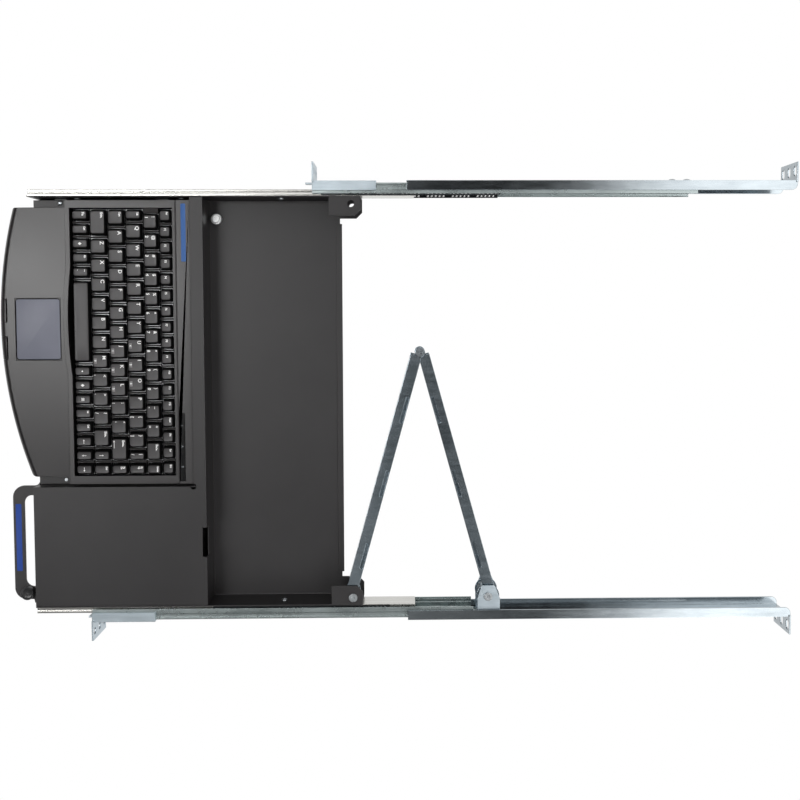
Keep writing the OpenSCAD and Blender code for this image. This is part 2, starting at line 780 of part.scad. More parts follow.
// Outer member, with clamp bolt holes, rivet holes and a tongue behind the right one
module slide_outer(y0, bolt_back, tongue) {
    end = y0 + slide_l;
    difference() {
        union() {
            translate([tray_x, 0, slide_mid]) run_y(y0, end) outer_section();
            block(tray_x + slide_w - slide_t, tray_x + slide_w, end - over, end + tongue,
                slide_z + crest_w, slide_top - crest_w);
        }
        for (i = [0, 1])
            rod_x(tray_x + slide_w - 2 * slide_t, tray_x + slide_w + over, end - bolt_back - i * bolt_pitch,
                slide_mid, bolt_r + run_fit);
        for (y = bracket_rivet_places(y0))
            rod_x(tray_x + slide_w - 2 * slide_t, tray_x + slide_w + over, y, slide_mid, rivet_r + run_fit);
        if (tongue > over) for (z = arm_rivet_heights())
            rod_x(tray_x + slide_w - 2 * slide_t, tray_x + slide_w + over, arm_rivet_y(), z,
                rivet_r + run_fit);
    }
}

function bracket_rivet_places(y0) = [y0 + rivet_inset, y0 + bracket_l - rivet_inset];

module left_slide_outer() {
    color("darkgray") left_side() slide_outer(left_slide_y, left_bolt_back, over / 2);
}

module right_slide_outer() {
    color("darkgray") slide_outer(right_slide_y, right_bolt_back, web_tongue);
}

// Ball cage: two strips with a hole for each ball, joined by a web
function cage_y(pull, y0) = y0 + cage_start + (left_pull - pull) / 2;
function ball_y(i) = cage_l * group_balls / ball_count * (floor(i / group_balls) + 0.5)
    + (2 * ball_r + ball_gap) * (i % group_balls - (group_balls - 1) / 2);

module ball_cage(y0) {
    x = tray_x + strip_in;
    web_x = tray_x + cage_web_x;
    difference() {
        union() {
            for (s = [-1, 1])
                block(x, web_x, y0, y0 + cage_l, slide_mid + s * race_z - strip_t / 2,
                    slide_mid + s * race_z + strip_t / 2);
            block(web_x - strip_t, web_x, y0, y0 + cage_l,
                slide_mid - cage_web_h / 2 - strip_t / 2, slide_mid + cage_web_h / 2 + strip_t / 2);
        }
        for (i = [0 : ball_count - 1])
            rod_z(tray_x + race_x, y0 + ball_y(i), slide_z, slide_top, ball_r + pin_fit);
    }
}

module balls(y0) {
    for (i = [0 : ball_count - 1], s = [-1, 1])
        translate([tray_x + race_x, y0 + ball_y(i), slide_mid + s * race_z]) sphere(ball_r, $fn = ball_fn);
}

module left_ball_cage() {
    color("silver") left_side() ball_cage(cage_y(left_pull, left_slide_y));
}

module right_ball_cage() {
    color("silver") ball_cage(cage_y(right_pull, right_slide_y));
}

module left_balls() {
    color("white") left_side() balls(cage_y(left_pull, left_slide_y));
}

module right_balls() {
    color("white") balls(cage_y(right_pull, right_slide_y));
}

// Channel section that wraps a slide: a web outside and two flanges turned in
module wrap_section(gap) {
    h = slide_h + 2 * gap;
    outer = slide_w + gap + channel_t;
    difference() {
        translate([outer - flange_w, -h / 2 - channel_t]) square([flange_w, h + 2 * channel_t]);
        translate([outer - flange_w - over, -h / 2]) square([flange_w + over - channel_t, h]);
    }
}

// Ear plate of a bracket or channel, out to the full rack width
module ear_plate(y0, x0) {
    block(x0, ear_x, y0, y0 + ear_t, 0, ear_h);
}

module front_bracket(y0) {
    web_x = tray_x + slide_w;
    difference() {
        union() {
            translate([tray_x, 0, slide_mid]) run_y(y0, y0 + bracket_l) wrap_section(0);
            ear_plate(y0, web_x);
            block(web_x, web_x + bracket_hook[0], y0 - bracket_hook[1], y0 + over,
                slide_mid - bracket_hook[2] / 2, slide_mid + bracket_hook[2] / 2);
        }
        for (i = [-1 : 1])
            rod_y(hole_x, y0 - over, y0 + ear_t + over, ear_h / 2 + i * hole_pitch, hole_r);
        for (y = bracket_rivet_places(y0))
            rod_x(web_x - over, web_x + channel_t + over, y, slide_mid, rivet_r + run_fit);
    }
}

module bracket_rivets(y0) {
    web_x = tray_x + slide_w;
    for (y = bracket_rivet_places(y0)) {
        rod_x(web_x - slide_t - rivet_head_h, web_x + channel_t + rivet_head_h, y, slide_mid, rivet_r);
        rod_x(web_x - slide_t - rivet_head_h, web_x - slide_t, y, slide_mid, rivet_head_r);
        rod_x(web_x + channel_t, web_x + channel_t + rivet_head_h, y, slide_mid, rivet_head_r);
    }
}

module left_front_bracket() {
    color("lightsteelblue") left_side() front_bracket(left_slide_y);
}

module right_front_bracket() {
    color("lightsteelblue") front_bracket(right_slide_y);
}

module left_bracket_rivets() {
    color("silver") left_side() bracket_rivets(left_slide_y);
}

module right_bracket_rivets() {
    color("silver") bracket_rivets(right_slide_y);
}

// Rear channel: slides over the outer member and ends in the rear ear
module rear_channel() {
    web_x = tray_x + slide_w + channel_gap;
    outer_x = web_x + channel_t;
    difference() {
        union() {
            translate([tray_x, 0, slide_mid]) run_y(channel_y, rear_y) wrap_section(channel_gap);
            ear_plate(rear_y - ear_t, web_x);
        }
        for (i = [-1 : 1]) ear_slot(hole_x, ear_h / 2 + i * hole_pitch, rear_y - ear_t - over, rear_y + over);
        web_slot(web_x - over, outer_x + over, channel_y + long_slot_start,
            channel_y + long_slot_start + long_slot_l, slide_mid, bolt_r + move_gap);
        difference() {
            block(outer_x - flange_w - over, outer_x - flange_w + channel_corner,
                rear_y - channel_corner, rear_y + over, -over, ear_h);
            rod_z(outer_x - flange_w + channel_corner, rear_y - channel_corner, -2 * over, ear_h + over,
                channel_corner);
        }
    }
}

module left_rear_channel() {
    color("lightslategray") left_side() rear_channel();
}

module right_rear_channel() {
    color("lightslategray") rear_channel();
}

// Clamp bolts with domed heads outside the channel, and nuts inside the slide
module clamp_bolts(y0, back) {
    seat = tray_x + slide_w + channel_gap + channel_t;
    cap_r = (head_r * head_r + head_h * head_h) / (2 * head_h);
    for (i = [0, 1]) translate([0, y0 + slide_l - back - i * bolt_pitch, slide_mid]) {
        rod_x(tray_x + slide_w - slide_t - nut_h - thread_show, seat, 0, 0, bolt_r);
        translate([seat, 0, 0]) rotate([0, 90, 0]) rotate_extrude($fn = round_fn) intersection() {
            translate([0, head_h - cap_r]) circle(cap_r, $fn = curve_fn);
            square([head_r, head_h + over]);
        }
    }
}

module clamp_nuts(y0, back) {
    x1 = tray_x + slide_w - slide_t;
    for (i = [0, 1]) translate([0, y0 + slide_l - back - i * bolt_pitch, slide_mid]) difference() {
        rod_x(x1 - nut_h, x1, 0, 0, nut_across / sqrt(3), 6);
        rod_x(x1 - nut_h - over, x1 + over, 0, 0, bolt_r + pin_fit);
    }
}

module left_clamp_bolts() {
    color("gray") left_side() clamp_bolts(left_slide_y, left_bolt_back);
}

module right_clamp_bolts() {
    color("gray") clamp_bolts(right_slide_y, right_bolt_back);
}

module left_clamp_nuts() {
    color("gray") left_side() clamp_nuts(left_slide_y, left_bolt_back);
}

module right_clamp_nuts() {
    color("gray") clamp_nuts(right_slide_y, right_bolt_back);
}

// One cable arm along its own line, its pivot at the origin and its elbow at arm_l:
// a channel with its web on the far side, slots in its upper flange and an eye at each end
module cable_arm(z0, z1, end_r, hole) {
    edge = arm_shift - arm_w / 2;
    module outline() {
        translate([0, edge]) square([arm_l - arm_blunt, arm_w]);
        circle(end_r, $fn = round_fn);
        translate([arm_l, 0]) circle(arm_end_r, $fn = round_fn);
    }
    difference() {
        union() {
            run_z(z0, z0 + arm_t) outline();
            run_z(z1 - arm_t, z1) outline();
            block(end_r + over, arm_l - arm_web_end, edge + arm_w - arm_t, edge + arm_w, z0, z1);
        }
        rod_z(0, 0, z0 - over, z1 + over, hole);
        rod_z(arm_l, 0, z0 - over, z1 + over, pin_r + (z0 > arm_z ? run_fit : pin_fit));
        for (p = tie_slot_place) {
            y = edge + tie_slot_edge + tie_slot_w / 2;
            reach = tie_slot_l / 2 - tie_slot_w / 2;
            for (s = [-1, 1]) rod_z(p + s * reach, y, z1 - 2 * arm_t, z1 + over, tie_slot_w / 2);
            block(p - reach, p + reach, y - tie_slot_w / 2, y + tie_slot_w / 2, z1 - 2 * arm_t, z1 + over);
        }
    }
}

module cable_arm_front() {
    color("lightgray") translate([pivot_x, tab_pivot_y, 0]) rotate([0, 0, 180 - arm_angle])
        cable_arm(arm_z, arm_top, tab_end_r, pin_r + run_fit);
}

module cable_arm_rear() {
    color("lightgray") translate([pivot_x, bracket_pivot_y, 0]) rotate([0, 0, 180 + arm_angle])
        mirror([0, 1, 0]) cable_arm(arm_z + nest, arm_top - nest, free_lug_r, free_hole_r);
}

// Hollow pivot pins with a head above, and a collar that carries the arm
module pivot_pin(x, y, foot, collar0, collar1, collar, seat, head) {
    difference() {
        union() {
            rod_z(x, y, foot, seat + pin_head_h, pin_r);
            rod_z(x, y, collar0, collar1, collar);
            rod_z(x, y, seat, seat + pin_head_h, head);
        }
        rod_z(x, y, seat, seat + pin_head_h + over, pin_eye_r);
    }
}

module elbow_pin() {
    color("slategray") pivot_pin(elbow_x, elbow_y, arm_z - 2 * arm_t, arm_z - 2 * arm_t, arm_z,
        collar_r, arm_top, elbow_head_r);
}

module arm_pivot_pin() {
    color("gainsboro") pivot_pin(pivot_x, tab_pivot_y, 0, sheet_t, arm_z - move_gap, collar_r,
        tray_h, pin_head_r);
}

module bracket_pivot_pin() {
    color("silver") pivot_pin(pivot_x, bracket_pivot_y, bracket_tab_z,
        bracket_tab_z + bracket_t, arm_z + nest - move_gap, washer_r, slide_top - over, pin_head_r);
}

// Bracket on the right slide that carries the free end of the cable arm
function arm_rivet_y() = right_slide_y + slide_l + web_tongue - rivet_inset / 2 - rivet_r;
function arm_rivet_heights() = [slide_mid - arm_rivet_rise, slide_mid + arm_rivet_rise];

module cable_arm_bracket() {
    x1 = tray_x + slide_w - slide_t;
    y1 = right_slide_y + slide_l + web_tongue;
    y0 = y1 - bracket_l2;
    z1 = slide_top - over;
    nose_x = pivot_x - bracket_nose;
    module tab_shape() {
        polygon([
            [x1, y0], [pivot_x + bracket_straight, y0], [nose_x, bracket_pivot_y - bracket_nose_w],
            [nose_x, bracket_pivot_y + bracket_nose_w], [pivot_x + bracket_straight, y1], [x1, y1]
        ]);
    }
    color("lightsteelblue") difference() {
        union() {
            block(x1 - bracket_t, x1, y0, y1, bracket_tab_z, z1);
            run_z(bracket_tab_z, bracket_tab_z + bracket_t) tab_shape();
            run_z(z1 - bracket_t, z1) tab_shape();
        }
        rod_z(pivot_x, bracket_pivot_y, 0, slide_top + over, pin_r + pin_fit);
        for (z = arm_rivet_heights()) rod_x(x1 - 2 * bracket_t, x1 + over, arm_rivet_y(), z, rivet_r + run_fit);
    }
}

module arm_bracket_rivets() {
    x1 = tray_x + slide_w - slide_t;
    color("silver") for (z = arm_rivet_heights()) {
        rod_x(x1 - bracket_t - rivet_head_h, x1 + slide_t, arm_rivet_y(), z, rivet_r);
        rod_x(x1 - bracket_t - rivet_head_h, x1 - bracket_t, arm_rivet_y(), z, rivet_head_r);
    }
}

// Plan of the palm rest, smaller all round by inset: an arc in front, round corners
module palm_plan(inset) {
    module corner(side, reach, r) {
        x = reach - r;
        y = palm_r - sqrt(pow(palm_r - r, 2) - pow(x, 2));
        translate([palm_mid, front_y]) mirror([side, 0]) translate([x, y]) difference() {
            translate([0, -palm_r / 4]) square([palm_r / 4, palm_r / 4]);
            circle(r - inset, $fn = round_fn);
        }
    }
    difference() {
        intersection() {
            translate([palm_mid, front_y + palm_r]) circle(palm_r - inset, $fn = curve_fn);
            translate([palm_x0 + inset, front_y]) square([palm_x1 - palm_x0 - 2 * inset, palm_l + over]);
        }
        corner(0, palm_x1 - palm_mid, palm_corner);
        corner(1, palm_mid - palm_x0, palm_left_corner);
    }
}

module frame_plan(inset) {
    translate([kb_x0 + inset, front_y + palm_l + inset])
        square([kb_w - 2 * inset, kb_l - palm_l - 2 * inset]);
}

// Solid of revolution whose top is the rolled front edge and the palm rest
module palm_turned(inset, low) {
    translate([palm_mid, front_y + palm_r, 0]) rotate_extrude($fn = curve_fn) difference() {
        union() {
            translate([roll_x, roll_z]) circle(roll_r - inset, $fn = round_fn);
            polygon([
                [roll_x, low], [roll_x, roll_top - inset],
                [palm_r / 2, roll_top - inset + palm_fall * (roll_x - palm_r / 2)], [palm_r / 2, low]
            ]);
        }
        translate([palm_r / 2 - over, low - palm_r]) square([palm_r, palm_r]);
    }
}

module palm_solid(inset, z0) {
    intersection() {
        palm_turned(inset, z0);
        run_z(z0, kb_top) palm_plan(inset);
    }
}

// Place and tilt of the touchpad in the palm rest
pad_in = 129;
pad_x = kb_x0 + pad_in;
pad_front = 17.4;
pad_tilt = atan(palm_fall);
pad_drop = 0.3;

module on_pad() {
    r = palm_r - pad_front;
    translate([pad_x, front_y + pad_front, roll_top + palm_fall * (roll_x - r) - pad_drop])
        rotate([pad_tilt, 0, 0]) children();
}

// Windows in the top of the case, for the keys, the lamps and the click buttons
click_w = 23;
click_gap = 15;
click_d = 8;
click_low = 1.4;
click_z = 24.6;
click_travel = 0.8;
window_w = 69.1;
window_in = 2.6;
window_x1 = kb_x1 - window_in;
window_x0 = window_x1 - window_w;
window_back = 7.8;
window_d = 5.3;
window_lip = 0.6;

module click_block(side, grow, drop) {
    x = pad_x + side * (click_gap + click_w) / 2;
    block(x - click_w / 2 - grow, x + click_w / 2 + grow, front_y - over, front_y + click_d + 3 * grow,
        click_z - drop, kb_top);
}

module keyboard_top_case() {
    y1 = front_y + kb_l;
    space_x = (cell_x(0, 5) + cell_x(0, 6)) / 2;
    color("dimgray") difference() {
        union() {
            palm_solid(0, kb_split);
            run_z(kb_split, kb_top) frame_plan(0);
            intersection() {
                translate([space_x, front_y + palm_l + palm_r - seam_bulge, palm_top - over])
                    cylinder(r = palm_r, h = kb_top - palm_top + over, $fn = curve_fn);
                block(cell_x(0, 4), cell_x(0, 7), front_y + palm_l - seam_bulge, front_y + palm_l + over,
                    palm_top - over, kb_top);
            }
        }
        palm_solid(kb_wall, kb_split - over);
        difference() {
            run_z(kb_split - over, kb_top - kb_wall) frame_plan(kb_wall);
            block(kb_x0, palm_x0 + kb_wall, front_y, front_y + palm_l, 0, kb_top);
        }
        block(palm_x0 + 2 * kb_wall, palm_x1 - 2 * kb_wall, front_y + palm_l - over - kb_wall,
            front_y + palm_l + 2 * kb_wall, kb_split - over, palm_top - 2 * kb_wall);
        block(well_x0, well_x0 + row_w, well_y0, well_y0 + well_d, kb_split, kb_top + over);
        intersection() {
            translate([space_x, well_y0 + palm_r - bulge, kb_split])
                cylinder(r = palm_r, h = kb_top, $fn = curve_fn);
            block(cell_x(0, 4), cell_x(0, 7), well_y0 - bulge, well_y0 + over, kb_split, kb_top + over);
        }
        block(kb_x0 - over, kb_x1 + over, y1 - groove_back - groove_w, y1 - groove_back,
            kb_top - groove_d, kb_top + over);
        block(window_x0, window_x1, y1 - window_back - window_d, y1 - window_back, kb_split, kb_top + over);
        on_pad() block(-pad_w / 2 - fit_gap, pad_w / 2 + fit_gap, -fit_gap, pad_d + fit_gap,
            -2 * kb_wall, roll_r);
        for (s = [-1, 1]) click_block(s, move_gap, click_low);
    }
}

// Places of the screws that come up through the shelf
kb_screw_r = 1.5;
kb_screw_head_r = 3;
kb_screw_head_h = 1.8;
kb_screw_l = 6;
kb_screw_in = 14;
kb_screw_front = 18;
kb_screw_side = 40;
kb_screw_back = 0.8;
boss_r = 3.6;
boss_h = 5;

function keyboard_screw_points() = [
    for (x = [palm_x0 + kb_screw_in, palm_x1 - kb_screw_in]) [x, tray_y + kb_screw_front],
    for (x = [palm_x0 + kb_screw_in, kb_mid + kb_screw_side]) [x, front_y + kb_l - kb_wall - boss_r - kb_screw_back]
];

module keyboard_bottom_case() {
    module plan(inset) {
        palm_plan(inset);
        frame_plan(inset);
    }
    color("dimgray") difference() {
        union() {
            difference() {
                union() {
                    intersection() {
                        run_z(shelf_z, kb_split) palm_plan(0);
                        translate([palm_mid, front_y + palm_r, 0]) rotate_extrude($fn = curve_fn) union() {
                            translate([roll_x, roll_z]) circle(roll_r, $fn = round_fn);
                            translate([palm_r / 2, 0]) square([roll_x - palm_r / 2, kb_top]);
                        }
                    }
                    run_z(shelf_z, kb_split) frame_plan(0);
                }
                run_z(kb_floor, kb_split + over) palm_plan(kb_wall + over);
                run_z(kb_floor, kb_split + over) frame_plan(kb_wall);
            }
            for (p = keyboard_screw_points()) rod_z(p[0], p[1], kb_floor, kb_floor + boss_h, boss_r);
            for (x = board_posts()) rod_z(x, board_y() + board_d / 2, kb_floor, board_z, boss_r / 2);
        }
        for (p = keyboard_screw_points())
            rod_z(p[0], p[1], shelf_z - over, kb_floor + boss_h - over, kb_screw_r + pin_fit);
    }
}

module keyboard_screws() {
    z = shelf_z - sheet_t;
    color("gray") for (p = keyboard_screw_points()) {
        rod_z(p[0], p[1], z - kb_screw_head_h, z, kb_screw_head_r);
        rod_z(p[0], p[1], z - kb_screw_head_h, z + kb_screw_l, kb_screw_r);
    }
}

// Board with the indicator lamps, on two posts behind the keys
board_d = 9;
board_t = 1.6;
board_z = 30;
board_margin = 2;
lamp_count = 6;
lamp = [2.4, 2, 1.2];
lamp_start = 8;
lamp_pitch = 8.6;
post_in = 3;

function board_y() = front_y + kb_l - kb_wall - board_margin - board_d;
function board_posts() = [window_x0 + post_in, window_x1 - board_margin - post_in];

module controller_board() {
    y = board_y();
    color("darkgreen") {
        block(window_x0, window_x1 - board_margin, y, y + board_d, board_z, board_z + board_t);
        for (i = [0 : lamp_count - 1])
            translate([window_x0 + lamp_start + i * lamp_pitch, y + board_d / 2 - lamp[1] / 2, board_z])
                cube([lamp[0], lamp[1], board_t + lamp[2]]);
    }
}

module indicator_window() {
    y1 = front_y + kb_l - window_back;
    color("black") {
        block(window_x0 + pin_fit, window_x1 - pin_fit, y1 - window_d + pin_fit, y1 - pin_fit,
            kb_top - kb_wall - window_lip, kb_top);
        block(window_x0 - over, window_x1 + fit_gap, y1 - window_d - over, y1 + over,
            kb_top - kb_wall - 2 * window_lip, kb_top - kb_wall - pin_fit);
    }
}

module touchpad() {
    color("slategray") on_pad() {
        block(-pad_w / 2, pad_w / 2, 0, pad_d, -kb_wall - over, 0);
        block(-pad_w / 2 - over, pad_w / 2 + over, -over, pad_d + over, -kb_wall - 2 * over,
            -kb_wall - fit_gap);
    }
}

module click_button(side) {
    difference() {
        intersection() {
            palm_solid(0, kb_split);
            click_block(side, 0, 0);
        }
        palm_solid(kb_wall, kb_split - over);
    }
}

module left_click_button() {
    color("dimgray") click_button(-1);
}

module right_click_button() {
    color("dimgray") click_button(1);
}

// Lattice that frames each key, with upright ribs between the keys of a row
module key_frame() {
    x0 = well_x0 - frame_lap;
    x1 = well_x0 + row_w + frame_lap;
    y0 = well_y0 - frame_lap;
    y1 = well_y0 + well_d + frame_lap / 2;
    color("gray") difference() {
        union() {
            block(x0, x1, y0, y1, frame_z, frame_z + frame_t);
            for (r = [0 : 5], i = [1 : len(row_cells[r]) - 1])
                block(cell_x(r, i) - rib_w / 2, cell_x(r, i) + rib_w / 2, cell_y(r) + key_gap,
                    cell_y(r) + cell_d(r) - key_gap, frame_z, rib_top);
            block(well_x0 + pin_fit, cell_x(4, 1) + rib_w / 2, cell_y(4) + key_gap,
                cell_y(4) + cell_d(4) - key_gap, frame_z, rib_top);
            difference() {
                block(x0, x1, y0, y1, plate_z + plate_t, frame_z + frame_t / 2);
                block(x0 + rim_t, x1 - rim_t, y0 + rim_t, y1 - rim_t, plate_z, frame_z + frame_t);
            }
        }
        for (r = [0 : 5], i = [0 : len(row_cells[r]) - 1]) if (!has(blank_cells[r], i))
            block(cell_x(r, i) + rib_w / 2, cell_x(r, i) + cell_w(r, i) - rib_w / 2,
                cell_y(r) + row_web / 2,
                cell_y(r) + cell_d(r) - row_web / 2, frame_z - over, frame_z + frame_t + over);
    }
}

// Places of the stems of a key: one in the middle, or two on a wide key
wide_key = 30;
two_stems = [0.25, 0.75];
function stem_places(row, i) =
    cell_w(row, i) > wide_key ? two_stems : [0.5];

module key_plate() {
    x0 = well_x0 - plate_margin;
    x1 = well_x0 + row_w + plate_margin;
    y0 = well_y0 - plate_margin;
    y1 = well_y0 + well_d + plate_margin / 2;
    hole = stem_w / 2 + stem_gap;
    color("silver") difference() {
        block(x0, x1, y0, y1, kb_floor + backing_t, plate_z + plate_t);
        block(x0 + rim_t, x1 - rim_t, y0 + rim_t, y1 - rim_t, kb_floor, plate_z);
        for (r = [0 : 5], i = [0 : len(row_cells[r]) - 1]) if (!has(blank_cells[r], i))
            for (p = stem_places(r, i))
                translate([cell_x(r, i) + p * cell_w(r, i), cell_y(r) + cell_d(r) / 2, 0])
                    block(-hole, hole, -hole, hole, plate_z - over, plate_z + plate_t + over);
    }
}

module membrane() {
    gap = rim_t + plate_margin - fit_gap;
    color("whitesmoke") {
        block(well_x0 - plate_margin + rim_t + fit_gap, well_x0 + row_w + plate_margin - rim_t - fit_gap,
            well_y0 - plate_margin + rim_t + fit_gap, well_y0 + well_d + plate_margin / 2 - rim_t - fit_gap,
            membrane_z, membrane_z + membrane_t);
        for (r = [0 : 5], i = [0 : len(row_cells[r]) - 1]) if (!has(blank_cells[r], i))
            for (p = stem_places(r, i))
                rod_z(cell_x(r, i) + p * cell_w(r, i), cell_y(r) + cell_d(r) / 2, membrane_z,
                    membrane_z + membrane_t + dome_h, dome_r, ball_fn);
    }
}

module backing_plate() {
    color("silver") block(well_x0 - plate_margin, well_x0 + row_w + plate_margin,
        well_y0 - plate_margin, well_y0 + well_d + plate_margin / 2, kb_floor, kb_floor + backing_t);
}

// One key: a cap with sloping sides, and its stems down through the plate
module key(row, i, front_bulge = 0) {
    w = cell_w(row, i) - rib_w - 2 * key_gap;
    d = cell_d(row) - row_web - 2 * key_gap;
    h = key_top - cap_z;
    x = cell_x(row, i) + cell_w(row, i) / 2;
    y = cell_y(row) + cell_d(row) / 2;
    translate([x, y, 0]) {
        intersection() {
            run_y(-d / 2, d / 2) polygon([
                [-w / 2, cap_z], [w / 2, cap_z], [w / 2 - cap_slope_x, key_top], [-w / 2 + cap_slope_x, key_top]
            ]);
            run_x(-w / 2, w / 2) polygon([
                [-d / 2, cap_z], [d / 2, cap_z], [d / 2 - cap_slope_y, key_top], [-d / 2 + cap_slope_y, key_top]
            ]);
        }
        for (p = stem_places(row, i)) translate([(p - 0.5) * cell_w(row, i), 0, 0])
            block(-stem_w / 2, stem_w / 2, -stem_w / 2, stem_w / 2, stem_z, cap_z + over);
    }
}

module key_row(row) {
    color("dimgray") for (i = [0 : len(row_cells[row]) - 1])
        if (!has(blank_cells[row], i) && !has(own_cells[row], i)) key(row, i);
}

module key_row_1() {
    key_row(0);
}

module key_row_2() {
    key_row(1);
}

module key_row_3() {
    key_row(2);
}

module key_row_4() {
    key_row(3);
}

module key_row_5() {
    key_row(4);
}

module key_row_6() {
    key_row(5);
}

module space_bar() {
    color("dimgray") key(0, 5);
}

module enter_key() {
    color("dimgray") key(2, 12);
}

module backspace_key() {
    color("dimgray") key(4, 13);
}

module left_shift_key() {
    color("dimgray") key(1, 0);
}

module right_shift_key() {
    color("dimgray") key(1, 11);
}

tray();
deck();
keyboard_shelf();
deck_screws();
shelf_rivets();
cable_stud();
handle();
handle_screws();
lock_knob();
slide_screws();
left_slide_inner();
right_slide_inner();
left_slide_outer();
right_slide_outer();
left_ball_cage();
right_ball_cage();
left_balls();
right_balls();
left_front_bracket();
right_front_bracket();
left_bracket_rivets();
right_bracket_rivets();
left_rear_channel();
right_rear_channel();
left_clamp_bolts();
right_clamp_bolts();
left_clamp_nuts();
right_clamp_nuts();
cable_arm_front();
cable_arm_rear();
elbow_pin();
arm_pivot_pin();
bracket_pivot_pin();
cable_arm_bracket();
arm_bracket_rivets();
keyboard_bottom_case();
keyboard_top_case();
key_frame();
key_plate();
membrane();
backing_plate();
controller_board();
indicator_window();
touchpad();
left_click_button();
right_click_button();
keyboard_screws();
key_row_1();
key_row_2();
key_row_3();
key_row_4();
key_row_5();
key_row_6();
space_bar();
enter_key();
backspace_key();
left_shift_key();
right_shift_key();
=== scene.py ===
import math

import bmesh
import bpy
from mathutils import Matrix, Vector
from mathutils.bvhtree import BVHTree


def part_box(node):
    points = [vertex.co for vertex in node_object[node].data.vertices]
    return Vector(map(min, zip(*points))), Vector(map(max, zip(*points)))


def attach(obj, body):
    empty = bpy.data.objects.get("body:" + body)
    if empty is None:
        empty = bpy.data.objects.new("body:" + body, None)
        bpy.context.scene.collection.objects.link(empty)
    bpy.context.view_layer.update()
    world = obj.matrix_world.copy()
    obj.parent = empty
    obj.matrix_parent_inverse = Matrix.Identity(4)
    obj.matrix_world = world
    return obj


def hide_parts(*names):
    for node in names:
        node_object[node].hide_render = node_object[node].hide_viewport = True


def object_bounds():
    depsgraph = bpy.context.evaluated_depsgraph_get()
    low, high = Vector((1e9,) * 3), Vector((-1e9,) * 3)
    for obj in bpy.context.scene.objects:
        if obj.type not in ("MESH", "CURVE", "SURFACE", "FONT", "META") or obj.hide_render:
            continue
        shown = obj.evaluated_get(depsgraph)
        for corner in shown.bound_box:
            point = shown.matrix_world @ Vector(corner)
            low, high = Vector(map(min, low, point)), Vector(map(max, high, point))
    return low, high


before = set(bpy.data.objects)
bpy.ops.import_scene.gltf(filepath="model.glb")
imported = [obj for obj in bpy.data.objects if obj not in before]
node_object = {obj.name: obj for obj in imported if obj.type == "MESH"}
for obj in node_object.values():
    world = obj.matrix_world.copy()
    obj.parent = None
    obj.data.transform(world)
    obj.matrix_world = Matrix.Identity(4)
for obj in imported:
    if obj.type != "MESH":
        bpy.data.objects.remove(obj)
cad_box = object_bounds()
FRONT_Y = cad_box[0][1]


# Studio. The drawer lies on a white table and is photographed from almost straight above, with
# the user's side at the picture's left. Soft boxes ahead of and behind it and three weak lamps
# give the light, and dark cards over the rear half keep the metal from mirroring it whole.
class Shade:
    """A shader value that can be added, taken away and multiplied."""

    def __init__(self, finish, socket):
        self.finish = finish
        self.socket = socket

    def maths(self, kind, first, second):
        return self.finish.node("ShaderNodeMath", {"operation": kind}, {0: first, 1: second})

    def __add__(self, other):
        return self.maths("ADD", self, other)

    def __radd__(self, other):
        return self.maths("ADD", other, self)

    def __sub__(self, other):
        return self.maths("SUBTRACT", self, other)

    def __rsub__(self, other):
        return self.maths("SUBTRACT", other, self)

    def __mul__(self, other):
        return self.maths("MULTIPLY", self, other)

    def __rmul__(self, other):
        return self.maths("MULTIPLY", other, self)

    def over(self, edge, soft):
        """One above an edge and zero below it, with a soft step between."""
        return self.finish.node("ShaderNodeMapRange", {"interpolation_type": "SMOOTHSTEP"},
                                {0: self, 1: edge - soft, 2: edge + soft})

    def between(self, low, high, soft):
        return self.over(low, soft) * (1 - self.over(high, soft))

    def within(self, low, high):
        """The value brought from zero and one to two other limits."""
        return self.finish.node("ShaderNodeMapRange", {"clamp": True}, {0: self, 3: low, 4: high})


class Finish:
    """A material, or the studio's walls, whose nodes are all made by one method."""

    def __init__(self, name, owner=None, **plain):
        self.material = owner or bpy.data.materials.new(name)
        self.material.use_nodes = True
        self.tree = self.material.node_tree
        self.surface = self.tree.nodes.get("Principled BSDF")
        for socket, value in plain.items():
            self.surface.inputs[socket.replace("_", " ")].default_value = value

    def node(self, kind, settings, values, output=0):
        made = self.tree.nodes.new(kind)
        for key, value in settings.items():
            setattr(made, key, value)
        for key, value in values.items():
            if isinstance(value, Shade):
                self.tree.links.new(value.socket, made.inputs[key])
            else:
                made.inputs[key].default_value = value
        return Shade(self, made.outputs[output])

    def feed(self, socket, value):
        self.tree.links.new(value.socket, self.surface.inputs[socket])

    def place(self, stretch=(1, 1, 1)):
        """Coordinates on the object in metres, stretched along each axis."""
        spot = self.node("ShaderNodeTexCoord", {}, {}, "Object")
        return self.node("ShaderNodeVectorMath", {"operation": "MULTIPLY"}, {0: spot, 1: stretch})

    def axis(self, name):
        spot = self.node("ShaderNodeTexCoord", {}, {}, "Object")
        return self.node("ShaderNodeSeparateXYZ", {}, {0: spot}, name)

    def noise(self, scale, detail=3, stretch=(1, 1, 1), rough=0.55):
        return self.node("ShaderNodeTexNoise", {}, {"Vector": self.place(stretch), "Scale": scale,
                                                    "Detail": detail, "Roughness": rough}, "Fac")

    def cells(self, scale):
        return self.node("ShaderNodeTexVoronoi", {}, {"Vector": self.place(), "Scale": scale}, "Distance")

    def mix(self, factor, first, second):
        return self.node("ShaderNodeMix", {"data_type": "RGBA"}, {0: factor, 6: first, 7: second}, 2)

    def bump(self, height, strength, distance):
        self.feed("Normal", self.node("ShaderNodeBump", {}, {"Strength": strength, "Distance": distance,
                                                             "Height": height}))


def srgb(red, green, blue):
    """A colour as the eye reads it in the photograph, from 0 to 255."""
    return tuple(((v / 255 + 0.055) / 1.055) ** 2.4 if v > 10 else v / 255 / 12.92
                 for v in (red, green, blue)) + (1.0,)


